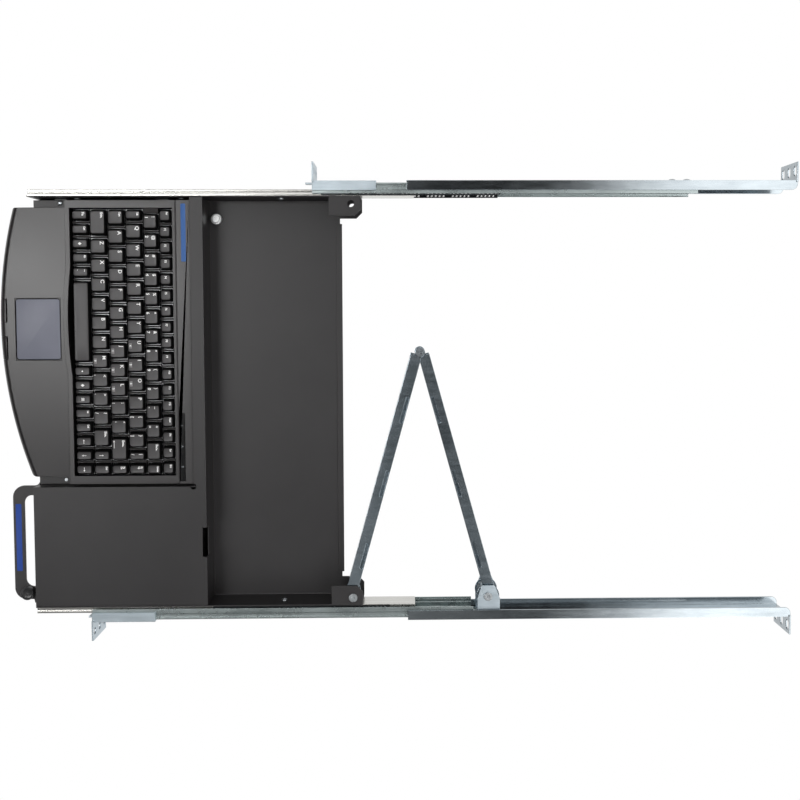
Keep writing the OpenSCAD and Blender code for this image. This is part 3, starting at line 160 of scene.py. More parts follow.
TABLE_HALF = 6.0
TABLE_Z = -0.0006
TABLE_MIRRORED = 0.88
table_sheet = bpy.data.meshes.new("table_top")
table_sheet.from_pydata([(-TABLE_HALF, -TABLE_HALF, TABLE_Z), (TABLE_HALF, -TABLE_HALF, TABLE_Z),
                         (TABLE_HALF, TABLE_HALF, TABLE_Z), (-TABLE_HALF, TABLE_HALF, TABLE_Z)],
                        [], [(0, 1, 2, 3)])
table = bpy.data.objects.new("table_top", table_sheet)
bpy.context.scene.collection.objects.link(table)
paper = Finish("table_white", Base_Color=(0.9, 0.9, 0.9, 1), Roughness=0.9, Specular_IOR_Level=0.0)
straight = paper.node("ShaderNodeLightPath", {}, {}, "Is Camera Ray")
mirrored = paper.node("ShaderNodeLightPath", {}, {}, "Is Glossy Ray")
glow = paper.node("ShaderNodeEmission", {}, {"Strength": 1.0})
shown = paper.node("ShaderNodeMixShader", {}, {0: straight + mirrored * TABLE_MIRRORED,
                                               1: Shade(paper, paper.surface.outputs[0]), 2: glow})
paper.tree.links.new(shown.socket, paper.tree.nodes["Material Output"].inputs[0])
table_sheet.materials.append(paper.material)

ROOM_LIGHT, HIGH_LIGHT, TOP_LIGHT = 0.03, 0.17, 0.06
FRONT_BOX, REAR_BOX, SLIDE_BOX = 14.5, 1.9, 0.15
CARD_SHADE, RIGHT_CARD_SHARE, NEAR_SHADE = 0.97, 0.8, 0.95
studio = bpy.data.worlds.new("studio")
bpy.context.scene.world = studio
walls = Finish("walls", owner=studio)
walls.surface = walls.tree.nodes["Background"]
walls.surface.inputs["Color"].default_value = (1, 1, 1, 1)
toward = walls.node("ShaderNodeTexCoord", {}, {}, "Generated")
lean_x = walls.node("ShaderNodeSeparateXYZ", {}, {0: toward}, "X")
lean_y = walls.node("ShaderNodeSeparateXYZ", {}, {0: toward}, "Y")
upward = walls.node("ShaderNodeSeparateXYZ", {}, {0: toward}, "Z")
overhead = ROOM_LIGHT + upward.over(0.45, 0.12) * HIGH_LIGHT + upward.over(0.86, 0.06) * TOP_LIGHT
left_card = lean_x.between(-0.4, 0.19, 0.05) * lean_y.between(-0.03, 0.19, 0.025)
right_card = lean_x.between(0.19, 0.42, 0.05) * lean_y.between(0.06, 0.17, 0.04) * RIGHT_CARD_SHARE
dark_card = (left_card + right_card) * upward.over(0.6, 0.1)
front_box = lean_x.over(-0.092, 0.012) * (1 - lean_x.over(0.02, 0.09)) * lean_y.between(-0.64, -0.19, 0.06)
rear_box = lean_y.between(0.22, 0.7, 0.05) * upward.over(0.5, 0.1)
slide_box = (1 - lean_x.over(-0.1, 0.012)) * lean_y.between(-0.32, -0.03, 0.03) * upward.over(0.6, 0.1)
in_front = (1 - lean_y.over(-0.72, 0.05)) * NEAR_SHADE
seen = walls.node("ShaderNodeLightPath", {}, {}, "Is Camera Ray")
boxes = front_box * FRONT_BOX + rear_box * REAR_BOX + slide_box * SLIDE_BOX
studio_light = (overhead + boxes) * (1 - dark_card * CARD_SHADE) * (1 - in_front)
walls.feed("Strength", seen + (1 - seen) * studio_light)


def lamp(name, place, aim, width, depth, power):
    light = bpy.data.lights.new(name, "AREA")
    light.shape = "RECTANGLE"
    light.size = width
    light.size_y = depth
    light.energy = power
    made = bpy.data.objects.new(name, light)
    made.location = place
    made.rotation_euler = (Vector(aim) - Vector(place)).to_track_quat("-Z", "Y").to_euler()
    bpy.context.scene.collection.objects.link(made)


lamp("left_lamp", (-1.7, -0.3, 1.5), (0, -0.1, 0), 1.0, 1.6, 8)
lamp("right_lamp", (1.6, 0.9, 1.6), (0, 0, 0), 1.0, 1.6, 6)
lamp("front_lamp", (-0.2, -2.2, 1.6), (0, -0.1, 0), 1.6, 0.5, 0.3)

CAMERA_PLACE = (-0.1002, FRONT_Y + 0.4085, 1.0555)
CAMERA_TURN = (math.radians(3.127), math.radians(-1.178), math.radians(-0.210))
SENSOR = 36
PICTURE = 800.0
FOCAL_PIXELS = 1007.1
CENTRE_OFFSET = (24.3, -41.7)
turn = (Matrix.Rotation(CAMERA_TURN[2], 3, "Z") @ Matrix.Rotation(CAMERA_TURN[1], 3, "Y")
        @ Matrix.Rotation(CAMERA_TURN[0], 3, "X"))
picture_axes = Matrix(((0, 1, 0), (1, 0, 0), (0, 0, -1)))
right, down, ahead = turn @ picture_axes
camera = bpy.data.objects.new("camera", bpy.data.cameras.new("camera"))
camera.data.sensor_width = SENSOR
camera.data.lens = SENSOR * FOCAL_PIXELS / PICTURE
camera.data.shift_x = -CENTRE_OFFSET[0] / PICTURE
camera.data.shift_y = CENTRE_OFFSET[1] / PICTURE
camera.data.clip_start = 0.02
camera.data.clip_end = 30
camera.matrix_world = Matrix(((right[0], -down[0], -ahead[0], CAMERA_PLACE[0]),
                              (right[1], -down[1], -ahead[1], CAMERA_PLACE[1]),
                              (right[2], -down[2], -ahead[2], CAMERA_PLACE[2]),
                              (0, 0, 0, 1)))
bpy.context.scene.collection.objects.link(camera)
bpy.context.scene.camera = camera
bpy.context.scene.view_settings.view_transform = "Standard"


# Tray, deck and keyboard shelf. Cold-rolled sheet 1.2 mm thick, bent and powder coated in a
# satin black with a fine orange-peel skin; the coat shows faint clouds and a little dust on
# its flat faces. The deck and the shelf are screwed and riveted into the tray.
SHEET_EDGE = 0.00025
SAME_POINT = 2e-6
FLAT_ANGLE = math.radians(0.4)
FOLD_ANGLE = math.radians(28)


def put(data, name, body, slot, *nodes):
    """Makes a mesh a piece that rides on a body and stands for CAD nodes."""
    piece = bpy.data.objects.new(name, data)
    bpy.context.scene.collection.objects.link(piece)
    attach(piece, body)
    if nodes:
        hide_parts(*nodes)
    return piece


def round_edges(node, body, slot, finish, width, merge=True):
    """The CAD node's own shape with every edge broken by a small radius. A point that the
    bevel throws further than its width goes back to the plain shape."""
    mesh = bmesh.new()
    mesh.from_mesh(node_object[node].data)
    bmesh.ops.remove_doubles(mesh, verts=mesh.verts, dist=SAME_POINT)
    if merge:
        bmesh.ops.dissolve_limit(mesh, angle_limit=FLAT_ANGLE, verts=mesh.verts, edges=mesh.edges)
    corners = [edge for edge in mesh.edges if edge.is_manifold and edge.calc_face_angle() > FOLD_ANGLE]
    plain = BVHTree.FromBMesh(mesh)
    bmesh.ops.bevel(mesh, geom=corners, offset=width, offset_type="OFFSET", segments=2, profile=0.5,
                    affect="EDGES", clamp_overlap=False, loop_slide=True)
    low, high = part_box(node)
    for vert in mesh.verts:
        spot, _, _, away = plain.find_nearest(vert.co)
        if away > width:
            vert.co = spot
        vert.co = [min(max(at, a), b) for at, a, b in zip(vert.co, low, high)]
    for face in mesh.faces:
        face.smooth = True
    data = bpy.data.meshes.new(node + "_finished")
    mesh.to_mesh(data)
    mesh.free()
    data.materials.append(finish.material)
    piece = put(data, node + "_finished", body, slot, node)
    flat = piece.modifiers.new("flat", "WEIGHTED_NORMAL")
    flat.weight = 95
    return piece


powder_coat = Finish("powder_coat", Specular_IOR_Level=0.5)
cloud = powder_coat.noise(8, 5, rough=0.62)
peel = powder_coat.noise(850, 2)
speck = powder_coat.noise(2600, 1)
dust = powder_coat.cells(420).over(0.075, 0.02)
coat_grain = cloud.within(-0.5, 1.4) * 0.7 + speck * 0.3
coat_shade = powder_coat.mix(coat_grain, srgb(26, 24, 25), srgb(41, 39, 40))
powder_coat.feed("Base Color", powder_coat.mix((1 - dust) * cloud * 0.5, coat_shade, srgb(78, 76, 76)))
powder_coat.feed("Roughness", cloud.within(0.3, 0.4) + speck * 0.05)
powder_coat.bump(peel + speck * 0.4, 0.08, 0.0001)
for node in ("tray", "deck", "keyboard_shelf"):
    round_edges(node, "drawer", "black_sheet", powder_coat, SHEET_EDGE)


# Screws and rivets of the tray. Cold-headed steel, bright zinc plate: countersunk screws come up
# through the floor, pan heads hold the slides to the walls, and domed rivets hold the shelf.
MM = 1000
SHEET = 1.2
SHELF_TOP = 20.0
FRONT_MM = FRONT_Y * MM
TRAY_FRONT = FRONT_MM + 34
DECK_LENGTH = 174
DECK_SCREW_IN = 7.2
REAR_SCREW_X = (-149.9, -10.4, 120.8)
FRONT_SCREW_X = (111.5, 179.9)
WALL_X = 207.0
MID_Z = 22.0
SLIDE_SCREW_Y = (45, 150, 250)
SHELF_RIVET_X = (-202.6, 80.2)
SHELF_RIVET_Y = (27, 130)
STUD_PLACE = (-187.5, TRAY_FRONT + 181.6, SHEET)
# Profiles of turned pieces: distances along the line and radii
COUNTERSUNK = [(-5, 1.4), (-4.7, 1.7), (-1.2, 1.7), (-0.15, 2.95), (0, 2.9)]
PAN_HEAD = [(-4.2, 1.6), (-3.9, 1.9), (0, 1.9), (0.02, 3.3), (0.7, 3.25), (1.1, 2.9), (1.35, 2.2), (1.4, 2.1)]
RIVET_SHANK = [(-3.6, 1.4), (-3.4, 1.6), (0, 1.6)]
RIVET_DOME = [(0.0, 2.5), (0.25, 2.6), (0.7, 2.3), (1.0, 1.7), (1.16, 0.9), (1.2, 0.35)]
HOLLOW_STUD = [(-1.2, 2.0), (0, 2.0), (0.02, 5.5), (4.7, 5.5), (5.0, 5.2), (5.02, 4.1), (10.4, 4.1),
               (10.85, 3.95), (11.0, 3.6), (11.0, 1.9), (10.8, 1.75), (8.0, 1.7)]
# Turns of one quarter of a round piece, closer together at the ends of the cross slots
QUARTER = (0, 14, 29.5, 45, 60.5, 76)
SCREW_TURNS = [math.radians(90 * q + a) for q in range(4) for a in QUARTER]
SLOT_WIDTH_SHARE = 0.25
SMOOTH_ANGLE = math.radians(38)


def turned_part(mesh, place, direction, rings, recess=0.0, recess_depth=0.0, material=0):
    """A turned shape from its rings, each a distance along its line and a radius, in mm. A cross
    of the recess's half length is sunk into the last ring."""
    direction = Vector(direction).normalized()
    facing = direction.to_track_quat("Z", "Y").to_matrix()

    def ring(along, radius_at):
        made = []
        for turn_by in SCREW_TURNS:
            r = radius_at(turn_by)
            spot = facing @ Vector((r * math.cos(turn_by), r * math.sin(turn_by), along))
            made.append(mesh.verts.new(((spot.x + place[0]) / MM, (spot.y + place[1]) / MM,
                                        (spot.z + place[2]) / MM)))
        return made

    def cross_radius(length):
        def at(turn_by):
            c, s = abs(math.cos(turn_by)), abs(math.sin(turn_by))
            half = length * SLOT_WIDTH_SHARE
            return min(length / max(c, s), half / max(min(c, s), 0.001))
        return at

    drawn = [ring(along, lambda turn_by, r=radius: r) for along, radius in rings]
    if recess:
        top = rings[-1][0]
        drawn.append(ring(top, cross_radius(recess)))
        drawn.append(ring(top - recess_depth * 0.6, cross_radius(recess * 0.8)))
        drawn.append(ring(top - recess_depth, cross_radius(recess * 0.35)))
    for step, (first, second) in enumerate(zip(drawn, drawn[1:])):
        for i in range(len(first)):
            j = (i + 1) % len(first)
            face = mesh.faces.new((first[i], first[j], second[j], second[i]))
            face.smooth = step < len(rings) - 1
            face.material_index = material
    mesh.faces.new(list(reversed(drawn[0]))).material_index = material
    mesh.faces.new(drawn[-1]).material_index = material


def settle(mesh, name, body, slot, finishes, *nodes):
    """Turns drawn faces into a piece of its own."""
    data = bpy.data.meshes.new(name)
    mesh.normal_update()
    mesh.to_mesh(data)
    mesh.free()
    for finish in finishes:
        data.materials.append(finish.material)
    data.set_sharp_from_angle(angle=SMOOTH_ANGLE)
    return put(data, name, body, slot, *nodes)


plated = Finish("plated_screw", Metallic=1.0)
plated_cloud = plated.noise(240, 3)
plated.feed("Base Color", plated.mix(plated_cloud, srgb(150, 156, 160), srgb(206, 210, 212)))
plated.feed("Roughness", plated_cloud.within(0.2, 0.42))
plated.bump(plated.noise(1800, 2), 0.12, 0.0001)

floor_screws = bmesh.new()
for x, y in ([(x, TRAY_FRONT + DECK_LENGTH - DECK_SCREW_IN) for x in REAR_SCREW_X]
             + [(x, TRAY_FRONT + DECK_SCREW_IN) for x in FRONT_SCREW_X]):
    turned_part(floor_screws, (x, y, 0), (0, 0, -1), COUNTERSUNK, recess=1.9, recess_depth=0.9)
settle(floor_screws, "floor_screw_set", "drawer", "plain_screw", (plated,), "deck_screws")

wall_screws = bmesh.new()
for side in (-1, 1):
    for y in SLIDE_SCREW_Y:
        turned_part(wall_screws, (side * WALL_X, TRAY_FRONT + y, MID_Z), (-side, 0, 0), PAN_HEAD,
                    recess=1.7, recess_depth=0.8)
settle(wall_screws, "wall_screw_set", "drawer", "plain_screw", (plated,), "slide_screws")

shelf_rivet = bmesh.new()
for x in SHELF_RIVET_X:
    for y in SHELF_RIVET_Y:
        turned_part(shelf_rivet, (x, TRAY_FRONT + y, SHELF_TOP), (0, 0, 1), RIVET_SHANK)
turned_part(shelf_rivet, (SHELF_RIVET_X[0], TRAY_FRONT + SHELF_RIVET_Y[0], SHELF_TOP), (0, 0, 1), RIVET_DOME)
settle(shelf_rivet, "shelf_rivet_set", "drawer", "bright_rivet", (plated,), "shelf_rivets")

stud_bright = Finish("stud_bright", Metallic=1.0)
stud_cloud = stud_bright.noise(300, 2)
stud_bright.feed("Base Color", stud_bright.mix(stud_cloud, srgb(226, 228, 228), srgb(250, 250, 250)))
stud_bright.feed("Roughness", stud_cloud.within(0.3, 0.45))
stud = bmesh.new()
turned_part(stud, STUD_PLACE, (0, 0, 1), HOLLOW_STUD)
settle(stud, "stud_turned", "drawer", "plain_screw", (stud_bright,), "cable_stud")


# Ball slides. The inner member is drawn steel with a bright plate and fine draw lines, screwed
# to the tray wall. The outer member is rolled steel in grey zinc. Between them runs a steel cage,
# coloured nearly black as painted shade of the slide's inside, with a row of polished balls
# above and below.
bright = Finish("bright_draw", Metallic=1.0)
draw = bright.noise(900, 3, (1, 0.012, 1))
scuff = bright.noise(60, 2, (1, 0.3, 1))
bright.feed("Base Color", bright.mix(draw * 0.7 + scuff * 0.3, srgb(168, 166, 160), srgb(226, 226, 222)))
bright.feed("Roughness", draw.within(0.12, 0.26) + scuff * 0.08)
bright.bump(draw, 0.14, 0.0001)
for side in ("left", "right"):
    round_edges(side + "_slide_inner", "drawer", "bright_slide", bright, 0.0003)

grey_zinc = Finish("grey_zinc", Metallic=1.0)
roll = grey_zinc.noise(700, 4, (1, 0.02, 1))
blotch = grey_zinc.noise(45, 3)
rolled = roll * 0.6 + blotch * 0.4
grey_zinc.feed("Base Color", grey_zinc.mix(rolled, srgb(132, 142, 142), srgb(196, 206, 206)))
grey_zinc.feed("Roughness", blotch.within(0.2, 0.36))
grey_zinc.bump(roll, 0.2, 0.0001)
for side in ("left", "right"):
    round_edges(side + "_slide_outer", side + "_rail", "grey_slide", grey_zinc, 0.00025)

# The cage's steel is painted nearly black as the shade inside the slide.
cage_steel_painted_shade = Finish("cage_steel_painted_shade", Metallic=1.0)
cage_cloud = cage_steel_painted_shade.noise(200, 3)
cage_steel_painted_shade.feed("Base Color", cage_steel_painted_shade.mix(cage_cloud, srgb(30, 33, 35), srgb(58, 62, 64)))
cage_steel_painted_shade.feed("Roughness", cage_cloud.within(0.3, 0.5))
ball_steel = Finish("ball_steel", Metallic=1.0, Roughness=0.08)
ball_cloud = ball_steel.noise(300, 2)
ball_steel.feed("Base Color", ball_steel.mix(ball_cloud, srgb(214, 214, 214), srgb(244, 244, 244)))


def coat(node, finish):
    """Gives a CAD node's own mesh a finish."""
    slots = node_object[node].data.materials
    slots.clear()
    slots.append(finish.material)


for side in ("left", "right"):
    coat(side + "_ball_cage", cage_steel_painted_shade)
    coat(side + "_balls", ball_steel)


# Front brackets and rear channels. Pressed steel 1.8 mm thick with a bluish zinc plate, folded
# round the slide and out into a rack ear. The channel slips over the slide's rear end and is
# clamped through its long slot by two domed bolts; rivets hold the front bracket.
RIGHT_SLIDE = TRAY_FRONT + 57
LEFT_SLIDE = TRAY_FRONT + 283.6
SLIDE_LENGTH = 388
SLIDE_FACE = 220.9
CHANNEL_FACE = 223.0
BOLT_SPACING = 14.8
LEFT_BOLT_IN = 7
RIGHT_BOLT_IN = 21
RIVET_IN = 12
RIVET_SPACING = 40
PLATE_EDGE = 0.00035
CLAMP_BOLT = [(-7.3, 2.7), (-7.0, 3.0), (0, 3.0), (0.02, 5.5), (0.5, 5.32), (1.2, 4.93), (2.0, 4.25),
              (2.8, 3.25), (3.3, 2.35)]
BRACKET_RIVET = [(-2.2, 1.0), (-2.0, 2.4), (-1.6, 3.2), (-1.22, 3.4), (-1.2, 2.0), (1.8, 2.0), (1.82, 3.4),
                 (2.2, 3.2), (2.6, 2.4), (2.8, 1.0)]


def zinc_plate(name, dark, light, shine):
    made = Finish(name, Metallic=1.0)
    streak = made.noise(300, 4, (1, 0.12, 1))
    bloom = made.noise(38, 4)
    made.feed("Base Color", made.mix(streak * 0.55 + bloom * 0.45, srgb(*dark), srgb(*light)))
    made.feed("Roughness", (streak * 0.5 + bloom * 0.5).within(*shine))
    made.bump(streak + made.noise(1500, 2) * 0.4, 0.14, 0.0001)
    return made


bracket_zinc = zinc_plate("bracket_zinc", (146, 160, 168), (210, 220, 226), (0.26, 0.46))
channel_zinc = zinc_plate("channel_zinc", (122, 130, 136), (198, 206, 210), (0.08, 0.2))
for side in ("left", "right"):
    round_edges(side + "_front_bracket", side + "_rail", "blue_zinc", bracket_zinc, PLATE_EDGE)
    round_edges(side + "_rear_channel", side + "_rear", "dark_zinc", channel_zinc, PLATE_EDGE)

for side, sign, start, back in (("left", -1, LEFT_SLIDE, LEFT_BOLT_IN),
                                ("right", 1, RIGHT_SLIDE, RIGHT_BOLT_IN)):
    bolts, rivets = bmesh.new(), bmesh.new()
    for i in (0, 1):
        bolt_y = start + SLIDE_LENGTH - back - BOLT_SPACING * i
        turned_part(bolts, (sign * CHANNEL_FACE, bolt_y, MID_Z), (sign, 0, 0), CLAMP_BOLT,
                    recess=1.8, recess_depth=1.0)
        turned_part(rivets, (sign * SLIDE_FACE, start + RIVET_IN + RIVET_SPACING * i, MID_Z), (sign, 0, 0),
                    BRACKET_RIVET)
    settle(bolts, side + "_clamp_bolt_set", side + "_rail", "plain_screw", (plated,), side + "_clamp_bolts")
    settle(rivets, side + "_bracket_rivet_set", side + "_rail", "bright_rivet", (plated,),
           side + "_bracket_rivets")
    round_edges(side + "_clamp_nuts", side + "_rail", "plain_screw", plated, 0.0003)


# Cable arm. Two folded channels of zinc-plated sheet, slotted along both flanges for cable ties,
# joined at an elbow by a hollow pin. One end turns on the tray's corner tab, the other on a
# bracket riveted behind the right slide.
ARM_RIVET_OFF = 7.2
ARM_RIVET_BACK = 19.4
ARM_RIVET = [(-1.2, 1.8), (-1.0, 2.0), (1.5, 2.0), (1.52, 3.4), (1.9, 3.2), (2.3, 2.3), (2.5, 0.9)]
ARM_EDGE = 0.0003
PIN_EDGE = 0.0004

arm_zinc = zinc_plate("arm_zinc", (128, 144, 152), (190, 200, 208), (0.12, 0.26))
pin_steel = Finish("pin_steel", Metallic=1.0)
pin_cloud = pin_steel.noise(260, 3)
pin_steel.feed("Base Color", pin_steel.mix(pin_cloud, srgb(96, 102, 106), srgb(148, 154, 158)))
pin_steel.feed("Roughness", pin_cloud.within(0.25, 0.4))
round_edges("cable_arm_front", "arm_front", "blue_zinc", arm_zinc, ARM_EDGE)
round_edges("cable_arm_rear", "arm_rear", "blue_zinc", arm_zinc, ARM_EDGE)
round_edges("cable_arm_bracket", "right_rail", "blue_zinc", bracket_zinc, ARM_EDGE)
round_edges("elbow_pin", "arm_front", "plain_screw", pin_steel, PIN_EDGE)
round_edges("arm_pivot_pin", "drawer", "bright_rivet", plated, PIN_EDGE)
round_edges("bracket_pivot_pin", "right_rail", "bright_rivet", plated, PIN_EDGE)

bracket_rivet = bmesh.new()
for z in (MID_Z - ARM_RIVET_OFF, MID_Z + ARM_RIVET_OFF):
    turned_part(bracket_rivet, (SLIDE_FACE - SHEET, RIGHT_SLIDE + SLIDE_LENGTH + ARM_RIVET_BACK, z),
                (-1, 0, 0), ARM_RIVET)
settle(bracket_rivet, "arm_bracket_rivet_set", "right_rail", "bright_rivet", (plated,), "arm_bracket_rivets")


# Handle and lock knob. The handle is a loop of 3 mm plate with black powder coat, two feet and
# a small latch nose, held by two pan-head screws. A plain blue stripe is printed along its bar.
# The knob is moulded black nylon that turns on a shank through the plate.
HANDLE_TOP = 19.5
HANDLE_FOOT = 2
HANDLE_SCREW_Z = 11.5
HANDLE_SCREW_X = (91.2, 199.8)
HANDLE_SCREW = [(-10, 1.7), (-9.7, 2.0), (0, 2.0), (0.02, 3.4), (0.9, 3.3), (1.4, 2.8), (1.75, 2.1),
                (1.8, 2.0)]
KNOB_PLACE = (197.4, TRAY_FRONT - 13.9, 11.5)
KNOB = [(0, 3.2), (0.3, 3.5), (4.7, 3.5), (4.72, 2.5), (8.28, 2.5), (8.3, 6.2), (8.6, 6.7), (9.0, 6.8),
        (13.4, 6.8), (14.0, 6.6), (14.28, 6.2), (14.3, 5.9), (14.1, 5.6), (12.9, 5.35), (12.7, 5.0)]
INK_COAT = 0.05
STRIPE_ROUND = 0.8
ROUND_LIMIT = 0.95
round_edges("handle", "drawer", "black_sheet", powder_coat, 0.0005)

stripe_blue = Finish("stripe_blue", Specular_IOR_Level=0.35)
ink = stripe_blue.noise(700, 3)
stripe_blue.feed("Base Color", stripe_blue.mix(ink, srgb(16, 52, 132), srgb(30, 72, 160)))
stripe_blue.feed("Roughness", ink.within(0.4, 0.6))


def rounded_ring(half_w, half_d, radius, steps=4):
    """Points of a rectangle with round corners, drawn once round from the rear right corner."""
    radius = min(radius, half_w * ROUND_LIMIT, half_d * ROUND_LIMIT)
    points = []
    for corner, (sx, sy) in enumerate(((1, 1), (-1, 1), (-1, -1), (1, -1))):
        for step in range(steps + 1):
            turn_by = math.radians(90 * corner + 90 * step / steps)
            points.append((sx * (half_w - radius) + radius * math.cos(turn_by),
                           sy * (half_d - radius) + radius * math.sin(turn_by)))
    return points


def bridge(mesh, first, second, material=0):
    count = len(first)
    for i in range(count):
        face = mesh.faces.new((first[i], first[(i + 1) % count], second[(i + 1) % count], second[i]))
        face.smooth = True
        face.material_index = material


def stripe(name, x0, x1, y0, y1, z, finish):
    """A printed band with softly rounded ends, as thick as a coat of ink."""
    mesh = bmesh.new()
    half_w, half_d = (x1 - x0) / 2, (y1 - y0) / 2
    cx, cy = (x0 + x1) / 2, (y0 + y1) / 2
    rings = []
    for rise in (0, INK_COAT):
        rings.append([mesh.verts.new(((cx + x) / MM, (cy + y) / MM, (z + rise) / MM))
                      for x, y in rounded_ring(half_w - rise, half_d - rise, STRIPE_ROUND)])
    bridge(mesh, rings[0], rings[1])
    mesh.faces.new(rings[1])
    mesh.faces.new(list(reversed(rings[0])))
    settle(mesh, name, "drawer", "black_sheet", (finish,))


stripe("handle_stripe", 105.1, 175.0, TRAY_FRONT - 25.6, TRAY_FRONT - 19.8, HANDLE_TOP, stripe_blue)

foot_screws = bmesh.new()
for x in HANDLE_SCREW_X:
    turned_part(foot_screws, (x, TRAY_FRONT - HANDLE_FOOT, HANDLE_SCREW_Z), (0, -1, 0), HANDLE_SCREW,
                recess=1.6, recess_depth=0.9)
settle(foot_screws, "handle_screw_set", "drawer", "plain_screw", (plated,), "handle_screws")

nylon = Finish("knob_nylon", Specular_IOR_Level=0.5)
nylon_grain = nylon.noise(1800, 2)
nylon.feed("Base Color", nylon.mix(nylon_grain, srgb(26, 26, 27), srgb(40, 40, 41)))
nylon.feed("Roughness", nylon_grain.within(0.24, 0.4))
nylon.bump(nylon_grain, 0.15, 0.0001)
knob = bmesh.new()
turned_part(knob, KNOB_PLACE, (0, 0, 1), KNOB, recess=3.4, recess_depth=0.5)
settle(knob, "lock_knob_turned", "knob", "knob_plastic", (nylon,), "lock_knob")


# Keyboard case. Two halves of injection-moulded ABS, charcoal with a fine spark texture: a
# rolled palm rest, a raised frame round the keys and a groove across the rear strip, held by
# four screws from under the shelf. The click buttons are cut from the same front edge.
CASE_TOP = 37.0
CASE_EDGE = 0.0004
CASE_STRIPE_Y = (185.9, 190.7)
CASE_SCREW_PLACES = ((-183.2, TRAY_FRONT + 18), (61.2, TRAY_FRONT + 18),
                     (-183.2, FRONT_MM + 188.2), (-21.0, FRONT_MM + 188.2))
CASE_SCREW = [(-6, 1.2), (-5.7, 1.5), (0, 1.5), (0.02, 3.0), (0.9, 2.9), (1.4, 2.4), (1.75, 1.8), (1.8, 1.7)]

stripe_soft_blue = Finish("stripe_soft_blue", Specular_IOR_Level=0.35)
soft_ink = stripe_soft_blue.noise(700, 3)
stripe_soft_blue.feed("Base Color", stripe_soft_blue.mix(soft_ink, srgb(46, 84, 142), srgb(62, 104, 164)))
stripe_soft_blue.feed("Roughness", soft_ink.within(0.4, 0.6))

case_black = Finish("case_black", Specular_IOR_Level=0.6)
spark = case_black.noise(2800, 2)
rub = case_black.noise(13, 4, rough=0.6)
case_black.feed("Base Color", case_black.mix(rub * 0.6 + spark * 0.4, srgb(26, 24, 24), srgb(40, 37, 38)))
case_black.feed("Roughness", rub.within(0.25, 0.33) + spark * 0.05)
case_black.bump(spark, 0.08, 0.0001)
round_edges("keyboard_top_case", "drawer", "case_plastic", case_black, CASE_EDGE)
round_edges("keyboard_bottom_case", "drawer", "case_plastic", case_black, CASE_EDGE)
round_edges("left_click_button", "left_click", "case_plastic", case_black, CASE_EDGE)
round_edges("right_click_button", "right_click", "case_plastic", case_black, CASE_EDGE)
stripe("case_stripe", -200.4, -142.6, FRONT_MM + CASE_STRIPE_Y[0], FRONT_MM + CASE_STRIPE_Y[1], CASE_TOP,
       stripe_soft_blue)

case_screws = bmesh.new()
for x, y in CASE_SCREW_PLACES:
    turned_part(case_screws, (x, y, SHELF_TOP - SHEET), (0, 0, -1), CASE_SCREW, recess=1.4, recess_depth=0.8)
settle(case_screws, "case_screw_set", "drawer", "plain_screw", (plated,), "keyboard_screws")


# Touchpad and lamp window. The pad is a smooth blue-grey film with round corners in a sunk
# border painted nearly black as the shade of the gap round the pad; the window is a strip of
# black tinted acrylic with three faint lamp signs.
PAD_PLACE = Vector((-75.0, FRONT_MM + 17.4, 30.952))
PAD_TILT = Matrix.Rotation(math.atan(5 / 62.5), 3, "X")
PAD_MID = 23.2
SIGN_Y = 183.2
SIGN_SIZE = 3.0
SIGN_INK = 0.03
LETTER_WEIGHT = 0.1
# Rings of the pad from its foot to its film: half width, half depth, corner radius, height
PAD_RINGS = ((32, 24.2, 0.3, -4.2), (32, 24.2, 0.3, -2.45), (31, 23.2, 0.3, -2.45), (31, 23.2, 0.3, -0.12),
             (30.96, 23.16, 3.4, -0.1), (30.92, 23.12, 3.3, -0.6), (30.3, 22.5, 2.7, -0.6),
             (30.2, 22.4, 2.6, -0.12), (29.9, 22.1, 2.4, 0.0))
FILM, BORDER_SHADE, FOOT = 0, 1, 2
PAD_BANDS = (FOOT, FOOT, FOOT, FOOT, BORDER_SHADE, BORDER_SHADE, FILM, FILM)

pad_film = Finish("pad_film", Specular_IOR_Level=0.5)
film_grain = pad_film.noise(2400, 2)
film_wear = pad_film.noise(40, 3)
film_shade = film_wear * 0.6 + film_grain * 0.4
pad_film.feed("Base Color", pad_film.mix(film_shade, srgb(98, 100, 112), srgb(120, 122, 134)))
pad_film.feed("Roughness", film_wear.within(0.34, 0.48))
pad_film.bump(film_grain, 0.08, 0.0001)
# The sunk border is painted nearly black as the shade of the gap round the pad.
border_painted_shade = Finish("border_painted_shade", Roughness=0.7, Specular_IOR_Level=0.1)
border_painted_shade.feed("Base Color", border_painted_shade.mix(border_painted_shade.noise(900, 2), srgb(3, 3, 4), srgb(8, 8, 9)))

pad = bmesh.new()
drawn = []
for half_w, half_d, radius, z in PAD_RINGS:
    drawn.append([pad.verts.new((PAD_PLACE + PAD_TILT @ Vector((x, y + PAD_MID, z))) / MM)
                  for x, y in rounded_ring(half_w, half_d, radius, steps=6)])
for first, second, band in zip(drawn, drawn[1:], PAD_BANDS):
    bridge(pad, first, second, band)
pad.faces.new(drawn[-1])
pad.faces.new(list(reversed(drawn[0]))).material_index = FOOT
settle(pad, "touchpad_finished", "drawer", "pad", (pad_film, border_painted_shade, case_black), "touchpad")

acrylic = Finish("tinted_acrylic", Specular_IOR_Level=0.25)
acrylic_cloud = acrylic.noise(200, 2)
acrylic.feed("Base Color", acrylic.mix(acrylic_cloud, srgb(4, 4, 5), srgb(10, 10, 11)))
acrylic.feed("Roughness", acrylic_cloud.within(0.14, 0.24))
round_edges("indicator_window", "drawer", "window", acrylic, 0.0003)


